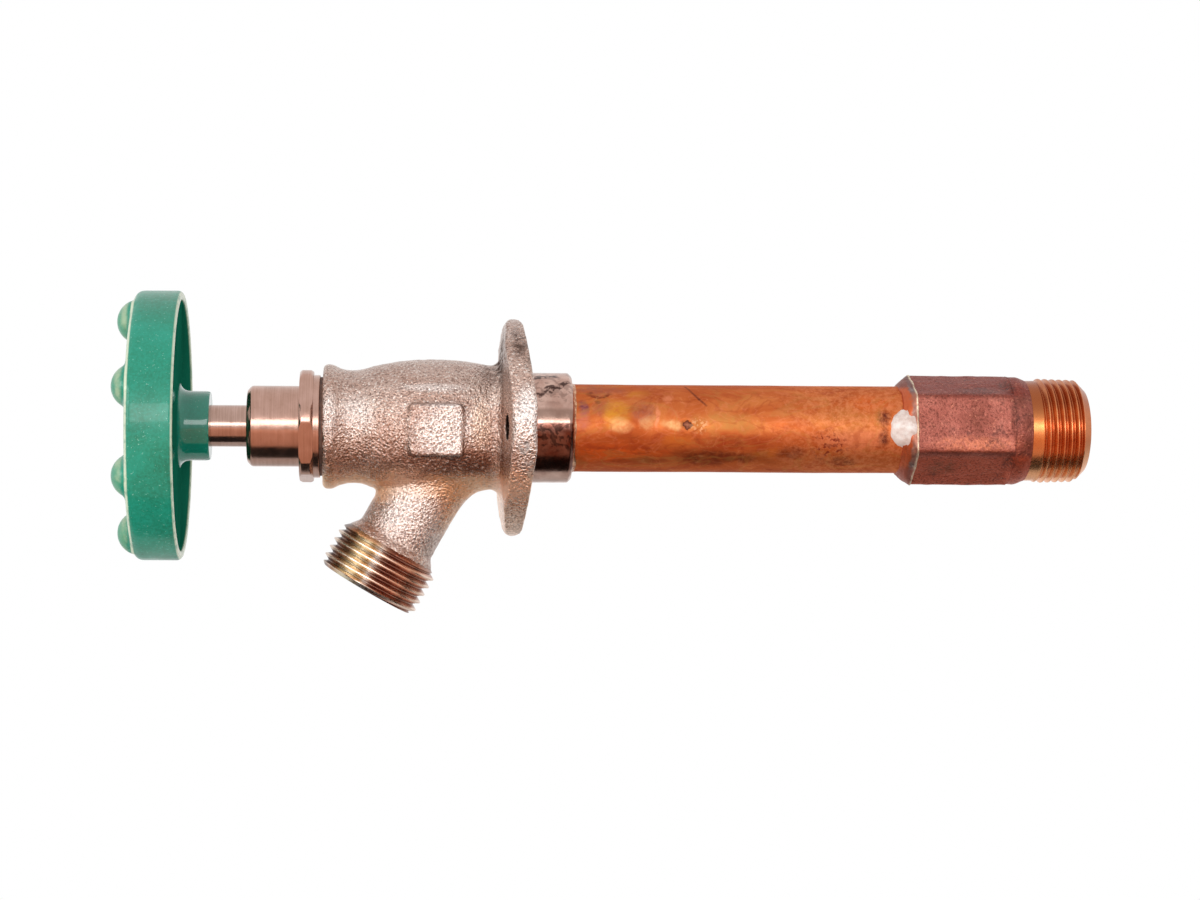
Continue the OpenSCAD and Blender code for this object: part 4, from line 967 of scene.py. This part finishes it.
def inlet_casting():
    columns, step, skin_r = 264, 0.5, 11.9
    hole_r, seat_r, shank_r, throat_r, seat_x, throat_x = TUBE_R + TUBE_GAP, 8.83, 7.73, 8.4, 111.1, 115.8
    outline = rounded([
        (X_INLET, hole_r, 0.1), (X_INLET, INLET_FACE_R, 0.35), (X_INLET + INLET_CONE, INLET_CORNER, 0.6),
        (X_INLET_HEX_END + 0.1, INLET_CORNER, 0.2), (X_INLET_HEX_END + 0.2, INLET_SHOULDER_R, 0.2),
        (X_SHOULDER_END - 2.2, INLET_SHOULDER_R, 0.9), (X_SHOULDER_END, 12.8, 0.3),
        (X_SHOULDER_END, 12.3, 0.05), (X_SHOULDER_END, throat_r, 0.1), (throat_x, throat_r, 0.1),
        (throat_x, shank_r, 0.1), (seat_x, shank_r, 0.1), (seat_x, seat_r, 0.1), (X_TUBE_END, seat_r, 0.1),
        (X_TUBE_END, hole_r, 0.1),
    ])
    fine = []
    for a, b in zip(outline, np.roll(outline, -1, 0)):
        count = max(1, int(np.linalg.norm(b - a) / step)) if min(a[1], b[1]) > skin_r else 1
        fine += [a + (b - a) * t / count for t in range(count)]

    def shape(x, r, a):
        sides = (x <= X_INLET_HEX_END + 0.15) & (r > skin_r)
        blend = smooth_step(x, X_INLET_HEX_END - 1.2, X_INLET_HEX_END + 0.2)
        across = hex_radius(a, INLET_AF, INLET_TURN)
        across = across + (np.maximum(across, INLET_SHOULDER_R) - across) * blend
        return np.where(sides, soft_min(across, r, INLET_EDGE), r)

    flat = around_x(np.array(fine), columns, shape).reshape(-1, 3)
    radius = axis_distance(flat)
    skin = (radius > skin_r) & (flat[:, 0] > X_INLET + 0.2) & (flat[:, 0] < X_SHOULDER_END - 0.3)
    lump = lumps(flat, (0.09, 3.6, 31), (0.06, 1.5, 32)) - 0.05
    swell(flat, np.where(skin, lump, 0))
    piece = new_piece("inlet_casting", flat, grid_faces(len(fine), columns, True))
    dress(piece, BRONZE, "hydrant", "cast_bronze", None, "inlet_fitting")


def pipe_thread():
    start, crest, depth, pitch = X_SHOULDER_END - 0.8, 13.3, 1.15, 1.814
    bore_r, throat_r, throat_x = 7.99, 5.25, X_END - 14

    def thread_share(x):
        """0 on the plain ring and 1 on the thread."""
        return smooth_step(x, X_PIPE - 0.4, X_PIPE + 1.2)

    def root(x):
        share, taper = thread_share(x), (x - X_PIPE) / 32
        return crest - depth + (depth - 0.6) * (1 - share) - taper * share

    def limit(x):
        """The chamfer at the end."""
        return 10.6 + X_END - x

    bore = [(X_END, 9.0), (X_END - 0.8, bore_r), (throat_x, bore_r), (throat_x, throat_r), (start, throat_r)]
    verts, faces = threaded(start, X_END, pitch, depth, root, thread_share, limit, 144, 14, bore)
    dress(new_piece("pipe_thread", verts, faces), PIPE_BRASS, "hydrant", "cast_bronze", 28)


def inlet_ground(x, a):
    """Radius of the tube, and then of the fitting's cone and sides, under the braze."""
    cone = np.interp(x, [X_INLET, X_INLET + INLET_CONE], [INLET_FACE_R, INLET_CORNER])
    ground = soft_min(hex_radius(a, INLET_AF, INLET_TURN), cone, INLET_EDGE)
    return np.where(x < X_INLET, TUBE_R, ground)


def inlet_braze():
    """A skin of braze from the tube up over the fitting's cone, with ragged edges and a bead at the rear."""
    columns, steps, bead_at, bead_r, fillet = 264, 22, 0.9, 13.05, 0.75
    a = angles(columns)
    ring = np.stack([np.cos(a), np.sin(a), 0 * a], -1) * 5
    front = X_INLET - 0.9 - lumps(ring, (0.35, 1.0, 61))
    back = X_INLET + 2.9 + lumps(ring, (0.18, 0.9, 62))
    rows = []
    for t in np.linspace(0, 1, steps):
        x = front + (back - front) * t
        thick = 0.1 * math.sin(math.pi * min(1, 1.15 * t)) + 0.03
        thick += 0.16 * math.exp(-(((t - bead_at) / 0.07) ** 2))
        on_cone = x > X_INLET + 0.4
        corner = TUBE_R + fillet * np.exp(-(((x - X_INLET) / fillet) ** 2)) * ~on_cone
        r = np.maximum(inlet_ground(x, a), corner) + thick + lumps(ring + t * 3, (0.05, 0.5, 63))
        r = np.maximum(r, np.where(on_cone, bead_r - 3.0 * abs(t - bead_at), 0))
        rows.append((x, r - (0.3 if t in (0, 1) else 0)))
    for t in np.linspace(1, 0, 5):
        x = front + (back - front) * t
        slope = TUBE_R + 0.8 * np.clip((x - X_INLET) / 3, 0, 1) - 0.2
        rows.append((x, np.minimum(inlet_ground(x, a) - 0.4, slope)))
    dress(ring_of_rows("inlet_braze", rows, a), INLET_BRAZE, "hydrant", "braze", 50, "inlet_braze_ring")


def braze_splash():
    """The patch of braze that ran out over the tube in front of the fitting."""
    rows, columns, middle, half_long = 40, 48, 92.9, 4.4
    middle_angle, half_angle, sunk, proud = math.radians(88), 0.52, 0.8, 0.5
    u, v = np.meshgrid(np.linspace(-1, 1, rows), np.linspace(-1, 1, columns), indexing="ij")
    x = middle + half_long * u
    a = middle_angle + half_angle * v
    ground = np.interp(x, [91.2, X_INLET, X_INLET + 3], [TUBE_R, 12.0, 12.7])
    flat = np.stack([u, v, 0 * u], -1)
    edge = 0.88 + lumps(flat * 3, (0.08, 1.0, 41)) + lumps(flat * 9, (0.02, 1.0, 43))
    dome = np.clip(1 - (np.sqrt((u * 1.02) ** 2 + v**2) / edge) ** 4, 0, 1) ** 0.5
    lump = 1 + lumps(flat * 3, (0.10, 1.0, 42)) + lumps(flat * 9, (0.02, 1.0, 44))
    bottom = np.where(x < X_INLET, TUBE_R, ground) - sunk
    top = bottom + 0.1 + (ground - bottom + proud) * dome * lump
    points = [on_axis(x, r, a).reshape(-1, 3) for r in (top, bottom)]
    index, quads = net_faces(rows, columns)
    loop = np.concatenate([index[0, :-1], index[:-1, -1], index[-1, :0:-1], index[:0:-1, 0]])
    shift = rows * columns
    sides = np.stack([loop, np.roll(loop, -1), np.roll(loop, -1) + shift, loop + shift], -1)
    faces = quads.tolist() + (quads[:, ::-1] + shift).tolist() + sides.tolist()
    dress(new_piece("braze_splash", np.concatenate(points), faces), FLUX, "hydrant", "braze", 60)


handwheel()
repaint(STEEL, "handle_screw", "handle_washer", "swivel_clip", "washer_screw")
repaint(STEM_BRASS, "front_stem")
repaint(INNER_BRASS, "operating_rod", "plunger", "packing_follower", "packing_retainer")
repaint(INNER_BRASS, "valve_seat", "washer_holder")
repaint(RUBBER, "seat_washer")
repaint(GASKET, "nut_gasket")
repaint(PACKING, "stem_packing")
packing_nut()
body_casting()
body_collar()
hose_thread()
copper_tube()
collar_fillet()
inlet_braze()
inlet_casting()
pipe_thread()
braze_splash()


# Camera and studio, in metres


def aim(obj, spot, roll=0.0):
    """Points a camera or lamp at a spot, turned about its own line of sight."""
    ahead = (Vector(spot) - obj.location).normalized()
    right = ahead.cross(Vector((0, 0, 1))).normalized()
    up = right.cross(ahead)
    spun = Matrix.Rotation(roll, 3, ahead)
    axes = Matrix((spun @ right, spun @ up, -ahead)).transposed()
    obj.matrix_world = Matrix.Translation(obj.location) @ axes.to_4x4()


def stage_sheet(name, x, y, z, rough, cloud, tones):
    """A level sheet with faint clouds between two tones, which are linear colours."""
    mesh = bpy.data.meshes.new(name)
    mesh.from_pydata([(x[0], y[0], z), (x[1], y[0], z), (x[1], y[1], z), (x[0], y[1], z)], [], [(0, 1, 2, 3)])
    obj = bpy.data.objects.new(name, mesh)
    scene.collection.objects.link(obj)
    paper = Surface(name, Roughness=rough)
    paper.base = paper.ramp(paper.noise(cloud, 2), list(zip((0.3, 0.7), tones)))
    mesh.materials.append(paper.finish())
    return obj


def lamp(name, place, spot, width, height, energy):
    data = bpy.data.lights.new(name, "AREA")
    data.shape = "RECTANGLE"
    data.size, data.size_y = width, height
    data.energy = energy
    obj = bpy.data.objects.new(name, data)
    obj.location = place
    scene.collection.objects.link(obj)
    aim(obj, spot)


camera_data = bpy.data.cameras.new("camera")
camera_data.sensor_width = 36
camera_data.lens = 79.41
camera_data.shift_x, camera_data.shift_y = 0.1085, -0.0059
camera = bpy.data.objects.new("camera", camera_data)
camera.location = (-0.0344, -0.67, 0.0)
scene.collection.objects.link(camera)
aim(camera, spot=(-0.0155, 0, -0.00395), roll=math.radians(-0.35))
scene.camera = camera

FLOOR_Z, CARD_Z = -0.22, -0.2
stage_sheet("floor", (-2, 2), (-1.6, 0.45), FLOOR_Z, 0.8, 400, [(0.86, 0.86, 0.85, 1), (0.9, 0.9, 0.89, 1)])
# Cards under the object, which only the metal's reflections show
for name, y, tones in [
    ("dark_card", (-0.12, 0.04), [(0.008, 0.007, 0.007, 1), (0.014, 0.011, 0.01, 1)]),
    ("warm_card", (-1.6, -0.12), [(0.88, 0.48, 0.33, 1), (0.96, 0.56, 0.39, 1)]),
]:
    card = stage_sheet(name, (-1.2, 1.4), y, CARD_Z, 0.9, 250, tones)
    card.visible_camera = False
    card.visible_diffuse = False
    card.visible_shadow = False

lamp("key", place=(-0.1, -1.3, 0.24), spot=(0.02, 0, 0), width=1.6, height=0.34, energy=7)
lamp("left_fill", place=(-0.9, -0.5, 0.2), spot=(-0.08, 0, 0), width=0.3, height=0.4, energy=1.5)

# The world is white to the camera and in reflections, and dimmer as a light
WORLD_LIGHT, WORLD_SEEN = 0.62, 1.0
world = bpy.data.worlds.new("studio")
scene.world = world
world.use_nodes = True
tree = world.node_tree
backing = tree.nodes["Background"]
backing.inputs["Color"].default_value = (1, 1, 1, 1)
rays = tree.nodes.new("ShaderNodeLightPath")
seen = rays.outputs["Is Camera Ray"]
for kind in ("Is Glossy Ray", "Is Transmission Ray"):
    either = tree.nodes.new("ShaderNodeMath")
    either.operation = "MAXIMUM"
    tree.links.new(seen, either.inputs[0])
    tree.links.new(rays.outputs[kind], either.inputs[1])
    seen = either.outputs[0]
level = tree.nodes.new("ShaderNodeMapRange")
tree.links.new(seen, level.inputs[0])
level.inputs[3].default_value = WORLD_LIGHT
level.inputs[4].default_value = WORLD_SEEN
tree.links.new(level.outputs[0], backing.inputs["Strength"])

scene.view_settings.view_transform = "Standard"
